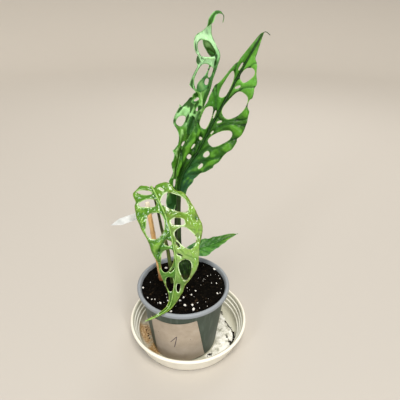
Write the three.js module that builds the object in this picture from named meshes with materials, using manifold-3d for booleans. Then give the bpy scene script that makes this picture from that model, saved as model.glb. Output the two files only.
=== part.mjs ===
// A young Monstera obliqua 'Peru' in a nursery pot that stands on a saucer.
// Millimetres, +Z up. The origin is the middle of the saucer's flat underside, -Y faces the viewer.

import * as THREE from 'three';
import { mergeVertices } from 'three/addons/utils/BufferGeometryUtils.js';
import Module from 'manifold-3d';

const wasm = await Module();
wasm.setup();

// Driving dimensions.

const GAP = 0.3; // kept between pieces that touch
const SAUCER = { rimRadius: 81.5, height: 29.5, footRadius: 68.3, floor: 2.2, bead: 2.3 };
const POT = { x: -5.6, y: -13.4, foot: 2.5, top: 99.6, rimRadius: 60, wall: 1.5, rimHeight: 6.2 };
const POT_WALL = { lowZ: 2.5, lowRadius: 44, highZ: 93.5, highRadius: 55 }; // outside of the tapered wall
const COLLAR_FOOT = POT.top - POT.rimHeight - 3; // where the inside begins to widen into the collar
const DRAIN = { count: 6, radius: 3.5, circle: 30 };
const SOIL = { level: 95.2, bump: 0.6, bank: { x: 33, y: 38, height: 1.5, spread: 60 } };
const LABEL = { azimuth: -15, middleZ: 43, thickness: 0.4 };
const LABEL_CORNERS = { left: [[-28.2, -44], [-29.9, 32.9]], right: [[41.7, -37.3], [32.8, 39.1]] };
const STAKE = { radius: 3, foot: [-29.6, -5.6, 44], top: [-49.1, 4, 208.6], slitDepth: 22 };
const TAG = { seat: [-47.6, 3.45, 196], tip: [-93.7, -6, 182], width: 9, thickness: 0.8, point: 13, tail: 6 };
const BLADE = 0.8; // thickness of every leaf blade
const EDGE_STEP = 3.6; // spacing of points along a leaf's margin
const INNER_STEP = 9; // spacing of points inside a leaf's blade

// The stem and the lower ends of the petioles that stand in it.

const STEM = {
  path: [[-2.5, -5, 66], [-4, -3.5, 90], [-5, 0.5, 106], [-5.5, 3.5, 119]],
  halfWidth: [6.5, 7.5, 9, 9.4],
  halfDepth: [5.5, 6, 7, 7.2],
  ringHeights: [97, 104, 111],
};

// Each leaf. The rib is the line that the midrib follows, from the blade's base to its tip, and the
// petiole runs up to it. The facing is the way that the upper side looks, at a share of the rib's length.
// Fold is how far each half rises from flat, in degrees, and curl how much more it turns per millimetre.
// Left and right are as seen on the upper side with the tip up. A margin is a list of [distance along the
// rib, distance out from it], and a hole is [along, out, length, width, turn, taper], turned in degrees
// from the tip's direction towards the margin.

const LEAVES = {
  leaf_front: {
    petiole: [[-15, -6.5, 62], [-19.7, -8.5, 94], [-21.7, -9.5, 116.5], [-25.6, -11, 155], [-30.8, -12, 179.5],
      [-34, -13, 203], [-37.8, -15, 227]],
    rib: [[-40, -18, 241], [-33, -27, 233], [-20.5, -42, 209], [-12.8, -53, 174], [-11.6, -57, 152],
      [-14.6, -59, 127], [-20, -64, 106], [-30.5, -75, 103.5], [-47, -80, 98]],
    thick: [3.2, 1.2, 0.6],
    facing: [[0, 0, -0.9, 0.45], [1, 0, -0.9, 0.45]],
    fold: [[0, 6, 6], [0.5, 8, 8], [1, 3, 3]],
    curl: [[0, -0.4, -0.4], [0.5, -0.6, -0.5], [1, 0, 0]],
    right: [[0, 1.4], [-3, 3], [-5.5, 6.5], [-8, 10], [-7, 14], [-6, 17.5], [-5, 21.2], [-2, 23], [3, 24],
      [9, 26], [16, 28.3], [23, 30.5], [33, 31], [42, 30.6], [53, 29], [61, 27], [68, 26], [77, 25.3],
      [85, 22.4], [93, 20.3], [104, 19.2], [112, 17.3], [119, 14.4], [127, 10.4], [133, 6.8], [140, 4.4],
      [148, 3.2], [160, 2.8], [170, 2.2], [180, 1.3], [188, 0]],
    left: [[0, 1.4], [3, 2], [2, 5], [2.5, 9], [4, 13], [6, 17], [9.5, 20], [14, 20.8], [18, 23], [20.5, 27],
      [25, 29.5], [30, 31.3], [35, 32], [43, 33.8], [49, 35], [55, 36.4], [61, 36.2], [66, 34.4], [70, 32.6],
      [77, 29], [84, 27.8], [90, 26.2], [96, 25.5], [102, 23.2], [109, 18.9], [115, 15.2], [120, 12.6],
      [125, 11.6], [130, 11], [136, 9], [144, 6.5], [152, 3.8], [160, 2.2], [170, 1.6], [180, 1.1], [188, 0]],
    holesRight: [[2, 9.6, 17, 4.8, 127, 0], [16, 13, 20.5, 9, 113, -0.15], [44.5, 14.9, 32.5, 20.8, 19, 0],
      [68.5, 5, 8, 6.4, 130, 0], [91, 9.8, 31, 13.6, 13, -0.25], [103.5, 4.6, 7.5, 2, 40, 0],
      [123.5, 5.4, 21.5, 8.6, -12, -0.35]],
    holesLeft: [[9, 8, 5.5, 1.8, 35, 0], [27.8, 15.1, 30.6, 16.4, 47, -0.1], [47.3, 10.9, 15.6, 7.4, 74, 0],
      [65.8, 15.2, 26.3, 18, 36, 0.05], [72.5, 5.7, 8, 2, 27, 0], [84.5, 5.4, 6.5, 2.2, 62, 0],
      [102, 10.6, 23.5, 13.6, 4, -0.3], [126.5, 4.7, 12, 4.4, 4, 0]],
    colour: 0x86b048,
  },
  leaf_right: {
    petiole: [[-4, 2.5, 108], [-6, 2.5, 121], [-10.6, 3, 139.4], [-11, 2.5, 182], [-10.9, 2, 201]],
    rib: [[-10.4, 2.4, 220.5], [-9.5, 4, 231.5], [-5, 6.5, 246], [2, 8, 257.5], [14, 11, 276.5],
      [29, 16, 306], [46, 21, 338], [59, 24, 363], [72.2, 27, 386.5], [78, 28, 396.5], [81.5, 28.5, 398],
      [86, 29, 395]],
    thick: [3, 2.3, 0.6],
    facing: [[0, 0, -0.97, 0.25], [1, 0, -0.97, 0.25]],
    fold: [[0, 18, 18], [0.5, 14, 14], [1, 10, 10]],
    curl: [[0, 0, 0], [0.5, -0.3, -0.5], [1, 0, 0]],
    right: [[0, 1.6], [-1, 5], [1, 8.4], [5, 9.4], [12, 10.8], [18, 13.2], [23, 14.6], [28, 14.2], [34, 15.5],
      [39, 16.6], [44, 20.4], [49, 22.8], [53, 24.8], [56, 24.4], [61, 27], [68, 28], [74, 30], [79, 33],
      [88, 34], [92, 32.8], [97, 34.4], [103, 35], [111, 34], [116, 32.6], [121, 30.6], [125, 29.6],
      [127, 27], [129, 24.8], [134, 23.4], [137, 23.8], [139, 25], [145, 23.4], [149, 21.8], [153, 22],
      [157, 20.3], [161, 17.2], [165, 15], [170, 12.6], [173, 10], [175.5, 6.9], [180, 5.8], [186, 4.4],
      [192, 2.9], [197, 1.8], [200, 1.1], [202, 0]],
    left: [[0, 1.6], [6, 3.2], [17, 6], [26, 9.4], [32, 11.4], [41, 14.8], [50, 17.9], [58, 18.8], [69, 17.6],
      [78, 17.4], [87, 17.4], [92, 17.2], [99, 17.8], [107, 17.2], [113, 16.6], [118, 17.6], [125, 17.8],
      [131, 18], [135, 16], [140, 14.4], [147, 12.6], [154, 11.2], [160, 9.7], [164, 7.6], [168, 7.4],
      [174, 6.4], [182, 5.1], [189, 3.8], [197, 2.2], [200, 1.2], [202, 0]],
    holesRight: [[157.2, 7.9, 17.4, 11.6, 20, 0], [141.5, 5.2, 6.5, 2.4, 40, 0], [123, 12.4, 33, 19.4, 14, 0],
      [99.5, 5.8, 5.8, 2.2, 45, 0], [83.5, 15.2, 29, 13.5, 38, 0], [85, 4, 4.8, 1.7, 14, 0],
      [61, 10.3, 7.6, 5.4, 22, 0], [46.3, 12, 7.2, 3.4, 5, 0.2]],
    holesLeft: [[97, 9.3, 25.5, 11.4, 8, 0], [104.2, 2.6, 9.5, 2, 8, 0], [138.5, 6, 30, 9, 2, -0.3],
      [161.5, 2.5, 9, 2.2, -2, 0], [73, 4, 3.2, 2.8, 0, 0], [61, 7.8, 7, 2.8, -6, 0], [47.5, 5.2, 5.6, 4.8, 0, 0]],
    colour: 0x4c8a36,
  },
  leaf_left: {
    petiole: [[-10.4, 5.5, 108], [-12, 7, 121], [-15, 10, 136], [-15.8, 14, 176.6]],
    rib: [[-14.5, 17, 198.5], [-13.5, 19, 218.5], [-11.5, 22, 237.5], [-7.5, 25, 256], [-1.5, 27, 272],
      [5, 29, 287.5], [13.5, 31, 307], [19.5, 33, 324], [24.4, 34, 337], [27.4, 35, 349], [32, 35, 363],
      [34.5, 35, 374], [29.8, 35, 384], [25, 35, 394], [24.6, 35, 401.5], [24.8, 35, 408], [28.2, 34, 414.4],
      [33, 33, 415.8], [37.2, 32, 412.4], [36.4, 31, 406.4]],
    thick: [2.3, 1.6, 0.75],
    facing: [[0, -1, 0.1, 0], [0.87, -1, -0.1, 0], [0.915, -0.3, -1, 0.1], [1, 0, -1, 0]],
    fold: [[0, 72, 60], [0.86, 72, 60], [0.9, 15, 15], [1, 15, 15]],
    curl: [[0, 0, 0], [1, 0, 0]],
    right: [[0, 1.6], [-5, 2.5], [-6.5, 6], [-4, 11], [1, 13.4], [6, 14.2], [12, 13.6], [22, 12.6], [32, 11.6],
      [38, 9.6], [44, 9.3], [49, 11], [53, 12.3], [57, 11.3], [61, 11.6], [64, 12.8], [67.5, 16.3],
      [70, 14.2], [76, 12.6], [82, 14], [89, 18.2], [93.5, 23], [97, 28], [103, 31.3], [109, 32.2],
      [115, 31.2], [119, 30], [122.5, 30.8], [121, 27], [127, 23], [132, 21.6], [134, 19], [136.5, 20],
      [139, 16.6], [141.5, 20.3], [144, 25.2], [149, 27.5], [157, 27.4], [164, 26.8], [169, 25.6], [174.5, 28.8],
      [180, 28.4], [187, 25.6], [193, 23.9], [199, 25.6], [203, 25.7], [206, 24.2], [208.5, 21.2], [210, 17.2],
      [211, 12], [213, 8.8], [216, 7], [219, 4.2], [225, 2.6], [231, 1.8], [235, 1], [238, 0]],
    left: [[0, 1.6], [-4, 3], [-4, 8], [3, 11], [15, 11.5], [30, 9.5], [43, 8], [50, 9.6], [53, 10.5],
      [60, 9.4], [67, 13], [72, 11.6], [80, 10.5], [90, 11], [97, 12], [104, 12], [112, 12.6], [118, 14.6],
      [126, 15.4], [133, 14.4], [140, 15.2], [146, 15.6], [151, 15], [155, 12.8], [159, 10], [165, 8.6],
      [172, 8.8], [178, 9.8], [184, 10.4], [190, 11.4], [196, 12], [201, 12.2], [205, 11], [209, 8.6],
      [213, 6.4], [219, 4.2], [225, 2.8], [231, 1.8], [235, 1], [238, 0]],
    holesRight: [[195.2, 13.4, 22.5, 18, 13, 0], [157.2, 12.9, 31, 21.6, -4, 0.22], [103.5, 21.4, 13, 10.8, 0, 0],
      [131, 12.4, 8.6, 4, -45, 0], [123.5, 6.1, 7.6, 3, -17, 0], [101.5, 6.9, 23, 8, 12, 0.25],
      [77.5, 6.2, 8.5, 3, 0, 0], [29, 4.8, 11.5, 2.8, 0, 0]],
    holesLeft: [[165.5, 4.9, 14, 4, 0, 0], [154, 6, 7, 4.2, 0, 0], [131.5, 10.6, 7, 3.2, -40, 0],
      [120, 8.4, 13, 6, 12, 0], [77.5, 6.2, 8, 2.8, 0, 0], [60, 5, 10, 3, 0, 0],
      [29, 4.8, 11, 2.8, 0, 0]],
    colour: 0x8fc47c,
  },
  leaf_low: {
    petiole: [[1, 7, 108], [0.5, 7.5, 121], [-2.5, 9.5, 131]],
    rib: [[-4, 11, 134], [22, 18, 134.6], [66, 26.6, 150.3]],
    thick: [1.7, 1.1, 0.7],
    facing: [[0, 0, -0.5, 0.85], [1, 0, -0.5, 0.85]],
    fold: [[0, 10, 10], [1, 6, 6]],
    curl: [[0, -0.8, -0.8], [1, -0.4, -0.4]],
    right: [[0, 1.2], [3, 5], [9, 9], [15, 11], [20, 12.4], [25, 13.6], [29, 13], [32, 11], [37, 9.6],
      [41, 8], [45, 7.8], [49, 6.2], [54, 5.4], [59, 3.2], [65, 2], [70, 1], [72.8, 0]],
    left: [[0, 1.2], [4, 4], [10, 6.8], [18, 9.6], [25, 11], [31, 11.2], [34, 9.6], [38, 8.9], [43, 9],
      [46, 8.2], [52, 6.6], [57, 5.8], [63, 4.6], [68, 3], [71, 1.5], [72.8, 0]],
    holesRight: [],
    holesLeft: [],
    colour: 0x43803a,
  },
};

const vector = (p) => new THREE.Vector3(...p);
const radians = THREE.MathUtils.degToRad;

// Solids.

function toSolid(geometry) {
  const bare = geometry.index ? geometry.toNonIndexed() : geometry.clone();
  for (const name of Object.keys(bare.attributes)) {
    if (name !== 'position') bare.deleteAttribute(name);
  }
  const merged = mergeVertices(bare, 1e-4);
  return new wasm.Manifold(new wasm.Mesh({
    numProp: 3,
    vertProperties: new Float32Array(merged.attributes.position.array),
    triVerts: new Uint32Array(merged.index.array),
  }));
}

function toGeometry(solid) {
  const mesh = solid.getMesh();
  const geometry = new THREE.BufferGeometry();
  geometry.setAttribute('position', new THREE.BufferAttribute(new Float32Array(mesh.vertProperties), 3));
  geometry.setIndex([...mesh.triVerts]);
  geometry.computeVertexNormals();
  return geometry;
}

function indexed(points, triangles) {
  const geometry = new THREE.BufferGeometry();
  geometry.setFromPoints(points);
  geometry.setIndex(triangles.flat());
  return geometry;
}

function lathe(profile, segments) {
  const geometry = new THREE.LatheGeometry(profile.map(([r, z]) => new THREE.Vector2(r, z)), segments);
  geometry.rotateX(Math.PI / 2);
  return geometry;
}

function mesh(name, geometry, colour, roughness) {
  const material = new THREE.MeshStandardMaterial({ color: colour, roughness, metalness: 0 });
  const result = new THREE.Mesh(geometry, material);
  result.name = name;
  return result;
}

// Rings of points joined into a closed tube.
function loft(rings) {
  const around = rings[0].length;
  const points = rings.flat();
  const triangles = [];
  for (let i = 0; i + 1 < rings.length; i += 1) {
    for (let j = 0; j < around; j += 1) {
      const a = i * around + j;
      const b = i * around + ((j + 1) % around);
      triangles.push([a, b, a + around], [b, b + around, a + around]);
    }
  }
  const middle = (ring) => ring.reduce((sum, p) => sum.add(p), new THREE.Vector3()).divideScalar(around);
  const first = points.push(middle(rings[0])) - 1;
  const last = points.push(middle(rings.at(-1))) - 1;
  const end = (rings.length - 1) * around;
  for (let j = 0; j < around; j += 1) {
    const next = (j + 1) % around;
    triangles.push([first, next, j], [last, end + j, end + next]);
  }
  return indexed(points, triangles);
}

// A round rod along a curve whose radius changes with the share of its length.
function rod(curve, steps, sides, radiusAt) {
  const frames = curve.computeFrenetFrames(steps, false);
  const rings = [];
  for (let i = 0; i <= steps; i += 1) {
    const centre = curve.getPointAt(i / steps);
    const radius = radiusAt(i / steps);
    const ring = [];
    for (let j = 0; j < sides; j += 1) {
      const angle = (2 * Math.PI * j) / sides;
      ring.push(centre.clone()
        .addScaledVector(frames.normals[i], radius * Math.cos(angle))
        .addScaledVector(frames.binormals[i], radius * Math.sin(angle)));
    }
    rings.push(ring);
  }
  return loft(rings);
}

// Flat meshing of a leaf half: an outline with holes and points spread inside.

function cross(a, b, c) {
  return (b.x - a.x) * (c.y - a.y) - (b.y - a.y) * (c.x - a.x);
}

function insideCircle(a, b, c, d) {
  const rows = [a, b, c].map((p) => [p.x - d.x, p.y - d.y, (p.x - d.x) ** 2 + (p.y - d.y) ** 2]);
  const [[ax, ay, az], [bx, by, bz], [cx, cy, cz]] = rows;
  return ax * (by * cz - bz * cy) - ay * (bx * cz - bz * cx) + az * (bx * cy - by * cx) > 1e-7;
}

function flipOnce(points, triangles) {
  const edges = new Map();
  triangles.forEach((t, i) => t.forEach((p, k) => edges.set(`${p}_${t[(k + 1) % 3]}`, [i, t[(k + 2) % 3]])));
  const done = new Set();
  let flips = 0;
  for (const [key, [i, c]] of edges) {
    const [a, b] = key.split('_').map(Number);
    const other = edges.get(`${b}_${a}`);
    if (!other || a > b || done.has(i) || done.has(other[0])) continue;
    const [j, d] = other;
    if (!insideCircle(points[a], points[b], points[c], points[d])) continue;
    if (cross(points[c], points[a], points[d]) < 1e-4 || cross(points[d], points[b], points[c]) < 1e-4) continue;
    triangles[i] = [c, a, d];
    triangles[j] = [d, b, c];
    done.add(i).add(j);
    flips += 1;
  }
  return flips;
}

function triangulate(outline, holes, step) {
  const points = [outline, ...holes].flat();
  const triangles = THREE.ShapeUtils.triangulateShape(outline, holes);
  triangles.forEach((t, i) => {
    if (cross(points[t[0]], points[t[1]], points[t[2]]) < 0) triangles[i] = [t[0], t[2], t[1]];
  });
  const border = points.slice();
  const box = new THREE.Box2().setFromPoints(outline);
  let row = 0;
  for (let x = box.min.x + step / 2; x < box.max.x; x += step * 0.87) {
    row += 1;
    for (let y = box.min.y + (row % 2 ? step / 2 : 0); y < box.max.y; y += step) {
      const p = new THREE.Vector2(x, y);
      if (border.some((q) => q.distanceTo(p) < step * 0.45)) continue;
      const found = triangles.findIndex((t) => [0, 1, 2].every((k) => (
        cross(points[t[k]], points[t[(k + 1) % 3]], p) > 1e-3)));
      if (found < 0) continue;
      const [a, b, c] = triangles[found];
      const n = points.push(p) - 1;
      triangles[found] = [a, b, n];
      triangles.push([b, c, n], [c, a, n]);
    }
  }
  while (flipOnce(points, triangles) > 0);
  return { points, triangles };
}

// A value between keys [share, left, right], eased from one key to the next.
function between(keys, share, column) {
  const u = THREE.MathUtils.clamp(share, 0, 1);
  let i = 0;
  while (i < keys.length - 2 && u > keys[i + 1][0]) i += 1;
  const [low, high] = [keys[i], keys[i + 1]];
  const t = THREE.MathUtils.smoothstep(u, low[0], high[0]);
  return THREE.MathUtils.lerp(low[column], high[column], t);
}

// The place on a leaf of a point that lies a along the rib and b out from it, and the upper side's normal.
function leafPlace(leaf, rib, length, side, a, b) {
  const along = THREE.MathUtils.clamp(a / length, 0, 1);
  const tangent = rib.getTangentAt(along);
  const facing = new THREE.Vector3(...[1, 2, 3].map((k) => between(leaf.facing, a / length, k)));
  const out = tangent.clone().cross(facing).normalize();
  const up = out.clone().cross(tangent);
  const column = side > 0 ? 2 : 1;
  const fold = radians(between(leaf.fold, a / length, column));
  const curl = radians(between(leaf.curl, a / length, column)) || 1e-6;
  const turned = fold + curl * b;
  const place = rib.getPointAt(along)
    .addScaledVector(tangent, a - along * length)
    .addScaledVector(out, (side * (Math.sin(turned) - Math.sin(fold))) / curl)
    .addScaledVector(up, (Math.cos(fold) - Math.cos(turned)) / curl);
  const normal = up.multiplyScalar(Math.cos(turned)).addScaledVector(out, -side * Math.sin(turned));
  return { place, normal };
}

// A margin or hole as evenly spaced points on a smooth curve through its given points.
function marginPoints(pairs) {
  const curve = new THREE.CatmullRomCurve3(pairs.map(([a, b]) => new THREE.Vector3(a, b, 0)));
  curve.curveType = 'catmullrom';
  const count = Math.round(curve.getLength() / EDGE_STEP);
  return curve.getSpacedPoints(count).map((p) => new THREE.Vector2(p.x, Math.max(p.y, 0)));
}

function holePoints([along, out, length, width, turn, taper]) {
  const count = Math.max(7, Math.round(((length + width) / EDGE_STEP) * 1.3));
  const squared = (v) => Math.sign(v) * Math.abs(v) ** 0.8;
  return Array.from({ length: count }, (_, i) => {
    const t = (2 * Math.PI * i) / count;
    const x = (length / 2) * squared(Math.cos(t));
    const y = (width / 2) * squared(Math.sin(t)) * (1 + taper * Math.cos(t));
    return new THREE.Vector2(x, y).rotateAround(new THREE.Vector2(), radians(turn))
      .add(new THREE.Vector2(along, out));
  });
}

function halfBlade(leaf, rib, length, side) {
  const margin = marginPoints(side > 0 ? leaf.right : leaf.left);
  const end = margin.at(-1).x;
  const midribCount = Math.round(end / 7);
  const midrib = Array.from({ length: midribCount }, (_, i) => new THREE.Vector2((end * i) / midribCount, 0));
  const outline = [...midrib, ...margin.reverse()];
  const holes = (side > 0 ? leaf.holesRight : leaf.holesLeft).map(holePoints);
  const { points, triangles } = triangulate(outline, holes, INNER_STEP);
  const upper = [];
  const lower = [];
  for (const p of points) {
    const { place, normal } = leafPlace(leaf, rib, length, side, p.x, p.y);
    upper.push(place.clone().addScaledVector(normal, BLADE / 2));
    lower.push(place.clone().addScaledVector(normal, -BLADE / 2));
  }
  const count = points.length;
  const faces = [];
  const edges = new Set(triangles.flatMap((t) => t.map((p, k) => `${p}_${t[(k + 1) % 3]}`)));
  for (const [a, b, c] of triangles) {
    faces.push([a, b, c], [c + count, b + count, a + count]);
  }
  for (const key of edges) {
    const [a, b] = key.split('_').map(Number);
    if (!edges.has(`${b}_${a}`)) faces.push([b, a, a + count], [b, a + count, b + count]);
  }
  const turned = side > 0 ? faces.map(([a, b, c]) => [a, c, b]) : faces;
  return toSolid(indexed([...upper, ...lower], turned));
}

function petioleAndRib(leaf) {
  const end = vector(leaf.rib.at(-1));
  end.addScaledVector(end.clone().sub(vector(leaf.rib.at(-2))).normalize(), 1);
  const path = [...leaf.petiole, ...leaf.rib.slice(0, -1)].map(vector);
  const curve = new THREE.CatmullRomCurve3([...path, end], false, 'catmullrom');
  const length = curve.getLength();
  const lower = new THREE.CatmullRomCurve3([...leaf.petiole, leaf.rib[0]].map(vector), false, 'catmullrom');
  const base = lower.getLength() / length;
  const [foot, neck, tip] = leaf.thick;
  const steps = Math.round(length / 9);
  return toSolid(rod(curve, steps, 6, (u) => (
    u < base ? THREE.MathUtils.lerp(foot, neck, u / base)
      : THREE.MathUtils.lerp(neck, tip, Math.sqrt((u - base) / (1 - base))))));
}

function leafMesh(name, leaf) {
  const rib = new THREE.CatmullRomCurve3(leaf.rib.map(vector), false, 'catmullrom');
  const length = rib.getLength();
  const solid = petioleAndRib(leaf)
    .add(halfBlade(leaf, rib, length, 1))
    .add(halfBlade(leaf, rib, length, -1));
  const [body] = solid.decompose().sort((a, b) => b.volume() - a.volume());
  return mesh(name, toGeometry(body), leaf.colour, 0.45);
}

// The straight cut that leaves a plain hole round a stem or the stake: its own path, a little wider.
function holeRound(path, radius, sides = 10) {
  const curve = new THREE.CatmullRomCurve3(path.map(vector), false, 'catmullrom');
  return toSolid(rod(curve, 8, sides, () => radius));
}

// Pieces.

function saucer() {
  const { rimRadius, height, footRadius, floor, bead } = SAUCER;
  const beadMiddle = new THREE.Vector2(rimRadius - bead, height - bead);
  const rim = Array.from({ length: 7 }, (_, i) => {
    const angle = radians(-75 + i * 42);
    return [beadMiddle.x + bead * Math.cos(angle), beadMiddle.y + bead * Math.sin(angle)];
  });
  const profile = [
    [0, 0], [footRadius, 0], [footRadius + 2.4, 0.9], [footRadius + 3.6, 3.2],
    [rimRadius - 3.4, height - 7], [rimRadius - 2.6, height - 5.2],
    ...rim,
    [rimRadius - 5, height - 5.4], [rimRadius - 6.4, height - 6.2], [rimRadius - 7.2, height - 11.4],
    [rimRadius - 8.6, height - 12.2], [rimRadius - 9.6, height - 17.6], [rimRadius - 11, height - 18.4],
    [rimRadius - 12, 6], [footRadius - 0.7, 3.2], [footRadius - 4, floor], [0, floor],
  ];
  return mesh('saucer', toGeometry(toSolid(lathe(profile, 54))), 0xe8e2d0, 0.45);
}

function wallRadius(z) {
  const share = (z - POT_WALL.lowZ) / (POT_WALL.highZ - POT_WALL.lowZ);
  return THREE.MathUtils.lerp(POT_WALL.lowRadius, POT_WALL.highRadius, share);
}

function pot() {
  const { foot, top, rimRadius, wall, rimHeight } = POT;
  const under = top - rimHeight;
  const floorTop = foot + 3.2;
  const profile = [
    [0, foot + 1.5], [38, foot + 1.5], [40, foot], [43, foot], [44.2, foot + 1.2],
    [wallRadius(under - 0.6), under - 0.6], [rimRadius - 3.2, under], [rimRadius - 0.8, under + 0.3],
    [rimRadius, under + 1.2], [rimRadius, top - 1.7], [rimRadius - 0.7, top - 0.5], [rimRadius - 2.2, top],
    [rimRadius - 3.8, top - 0.5], [rimRadius - 4.8, top - 2.4], [wallRadius(COLLAR_FOOT) - wall, COLLAR_FOOT],
    [wallRadius(floorTop + 2) - wall, floorTop + 2], [wallRadius(floorTop) - wall - 2, floorTop], [0, floorTop],
  ];
  let solid = toSolid(lathe(profile, 54));
  for (let i = 0; i < DRAIN.count; i += 1) {
    const angle = (2 * Math.PI * i) / DRAIN.count;
    const drill = new THREE.CylinderGeometry(DRAIN.radius, DRAIN.radius, 12, 12);
    drill.rotateX(Math.PI / 2);
    drill.translate(DRAIN.circle * Math.cos(angle), DRAIN.circle * Math.sin(angle), foot + 2);
    solid = solid.subtract(toSolid(drill));
  }
  const geometry = toGeometry(solid);
  geometry.translate(POT.x, POT.y, 0);
  return mesh('pot', geometry, 0x8b9180, 0.55);
}

// The paper is a hand-cut sheet, its corners given [across, up] on the unrolled cone of the pot's wall,
// and its lower edge is kept above the foot.
function paperLabel() {
  const { azimuth, middleZ, thickness } = LABEL;
  const { left, right } = LABEL_CORNERS;
  const slope = (POT_WALL.highRadius - POT_WALL.lowRadius) / (POT_WALL.highZ - POT_WALL.lowZ);
  const sine = slope / Math.hypot(1, slope);
  const cosine = Math.sqrt(1 - sine * sine);
  const apexDistance = wallRadius(middleZ) / sine;
  const [across, upward] = [16, 6];
  const lowest = POT.foot + 1.8;
  const place = (u, v, lift) => {
    const [s, t] = [0, 1].map((k) => THREE.MathUtils.lerp(
      THREE.MathUtils.lerp(left[0][k], left[1][k], v),
      THREE.MathUtils.lerp(right[0][k], right[1][k], v),
      u));
    const distance = Math.hypot(apexDistance + t, s);
    const angle = radians(azimuth) + Math.atan2(s, apexDistance + t) / sine;
    const z = Math.max(middleZ + (distance - apexDistance) * cosine, lowest);
    const radius = wallRadius(z) + GAP + lift;
    return new THREE.Vector3(POT.x + radius * Math.sin(angle), POT.y - radius * Math.cos(angle), z);
  };
  const rows = [];
  for (let i = 0; i <= across; i += 1) {
    const back = Array.from({ length: upward + 1 }, (_, j) => place(i / across, j / upward, 0.05));
    const front = Array.from({ length: upward + 1 }, (_, j) => place(i / across, j / upward, thickness));
    rows.push([...back, ...front.reverse()]);
  }
  return mesh('paper_label', stripSolid(rows, upward + 1), 0xb4a595, 0.9);
}

// A thin sheet from rows whose first half is its back and whose second half, reversed, is its front.
function stripSolid(rows, half) {
  const around = rows[0].length;
  const points = rows.flat();
  const triangles = [];
  for (let i = 0; i + 1 < rows.length; i += 1) {
    for (let j = 0; j < around; j += 1) {
      const a = i * around + j;
      const b = i * around + ((j + 1) % around);
      triangles.push([a, b, a + around], [b, b + around, a + around]);
    }
  }
  const end = (rows.length - 1) * around;
  for (let j = 0; j + 1 < half; j += 1) {
    const [a, b, c, d] = [j, j + 1, around - 2 - j, around - 1 - j];
    triangles.push([a, d, b], [b, d, c], [end + a, end + b, end + d], [end + b, end + c, end + d]);
  }
  return toGeometry(toSolid(indexed(points, triangles)));
}

function soilHeight(x, y) {
  const lumps = Math.sin(x * 0.42 + 0.6) * Math.cos(y * 0.37 - 0.9) + 0.6 * Math.sin(x * 0.81 - y * 0.66)
    + 0.5 * Math.cos(x * 0.23 + y * 1.05 + 2);
  const { bank } = SOIL;
  const heap = bank.height * Math.exp(-((x - bank.x) ** 2 + (y - bank.y) ** 2) / bank.spread);
  return SOIL.level + SOIL.bump * lumps + heap;
}

// The inside of the pot's collar, which widens from the top of the wall to the lip.
function collarInside(z) {
  const share = (z - COLLAR_FOOT) / (POT.top - 2.4 - COLLAR_FOOT);
  return THREE.MathUtils.lerp(wallRadius(COLLAR_FOOT) - POT.wall, POT.rimRadius - 4.8, share);
}

function soil(stems) {
  const bottom = POT.foot + 3.2 + GAP;
  const [segments, rings] = [40, 7];
  const edge = collarInside(SOIL.level) - GAP;
  const point = (radius, i, z) => {
    const angle = (2 * Math.PI * i) / segments;
    const [x, y] = [radius * Math.cos(angle), radius * Math.sin(angle)];
    return new THREE.Vector3(x + POT.x, y + POT.y, z ?? soilHeight(x, y));
  };
  const loops = [];
  const ring = (radius, z) => Array.from({ length: segments }, (_, i) => point(radius, i, z));
  loops.push(ring(20, bottom), ring(wallRadius(bottom) - POT.wall - 3, bottom));
  loops.push(ring(wallRadius(bottom + 3) - POT.wall - GAP - 0.3, bottom + 3));
  loops.push(ring(collarInside(COLLAR_FOOT) - GAP, COLLAR_FOOT));
  loops.push(ring(collarInside(SOIL.level - 2) - GAP, SOIL.level - 2));
  for (let i = rings; i > 0; i -= 1) loops.push(ring((edge - 0.4) * i / rings));
  let solid = toSolid(loft(loops));
  for (const stem of stems) solid = solid.subtract(stem);
  return mesh('soil', toGeometry(solid), 0x16130c, 0.95);
}

function stakeDirection() {
  return vector(STAKE.top).sub(vector(STAKE.foot)).normalize();
}

function tagAxes() {
  const along = vector(TAG.tip).sub(vector(TAG.seat)).normalize();
  const across = new THREE.Vector3().crossVectors(stakeDirection(), along).normalize();
  const upward = new THREE.Vector3().crossVectors(along, across);
  return new THREE.Matrix4().makeBasis(along, across, upward).setPosition(vector(TAG.seat));
}

function stake() {
  const curve = new THREE.LineCurve3(vector(STAKE.foot), vector(STAKE.top));
  const knots = [0.34, 0.74];
  const swell = (u) => knots.reduce((sum, k) => sum + 0.35 * Math.exp(-(((u - k) / 0.012) ** 2)), 0);
  const body = toSolid(rod(curve, 36, 8, (u) => STAKE.radius * (1.04 - 0.06 * u) + swell(u)));
  const slit = new THREE.BoxGeometry(STAKE.radius * 4, TAG.thickness + 2 * GAP, STAKE.slitDepth);
  slit.translate(0, 0, TAG.width / 2 + 7 - STAKE.slitDepth / 2 + 5);
  slit.applyMatrix4(tagAxes());
  return mesh('stake', toGeometry(body.subtract(toSolid(slit))), 0xb98a52, 0.6);
}

function plantTag() {
  const length = vector(TAG.tip).distanceTo(vector(TAG.seat));
  const half = TAG.width / 2;
  const shape = new THREE.Shape();
  shape.moveTo(length, 0);
  shape.lineTo(length - TAG.point, half);
  shape.lineTo(-TAG.tail, half);
  shape.lineTo(-TAG.tail, -half);
  shape.lineTo(length - TAG.point, -half);
  shape.closePath();
  const geometry = new THREE.ExtrudeGeometry(shape, { depth: TAG.thickness, bevelEnabled: false });
  geometry.translate(0, 0, -TAG.thickness / 2);
  geometry.rotateX(Math.PI / 2);
  geometry.applyMatrix4(tagAxes());
  return mesh('plant_tag', toGeometry(toSolid(geometry)), 0xf0f2ee, 0.4);
}

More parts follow.
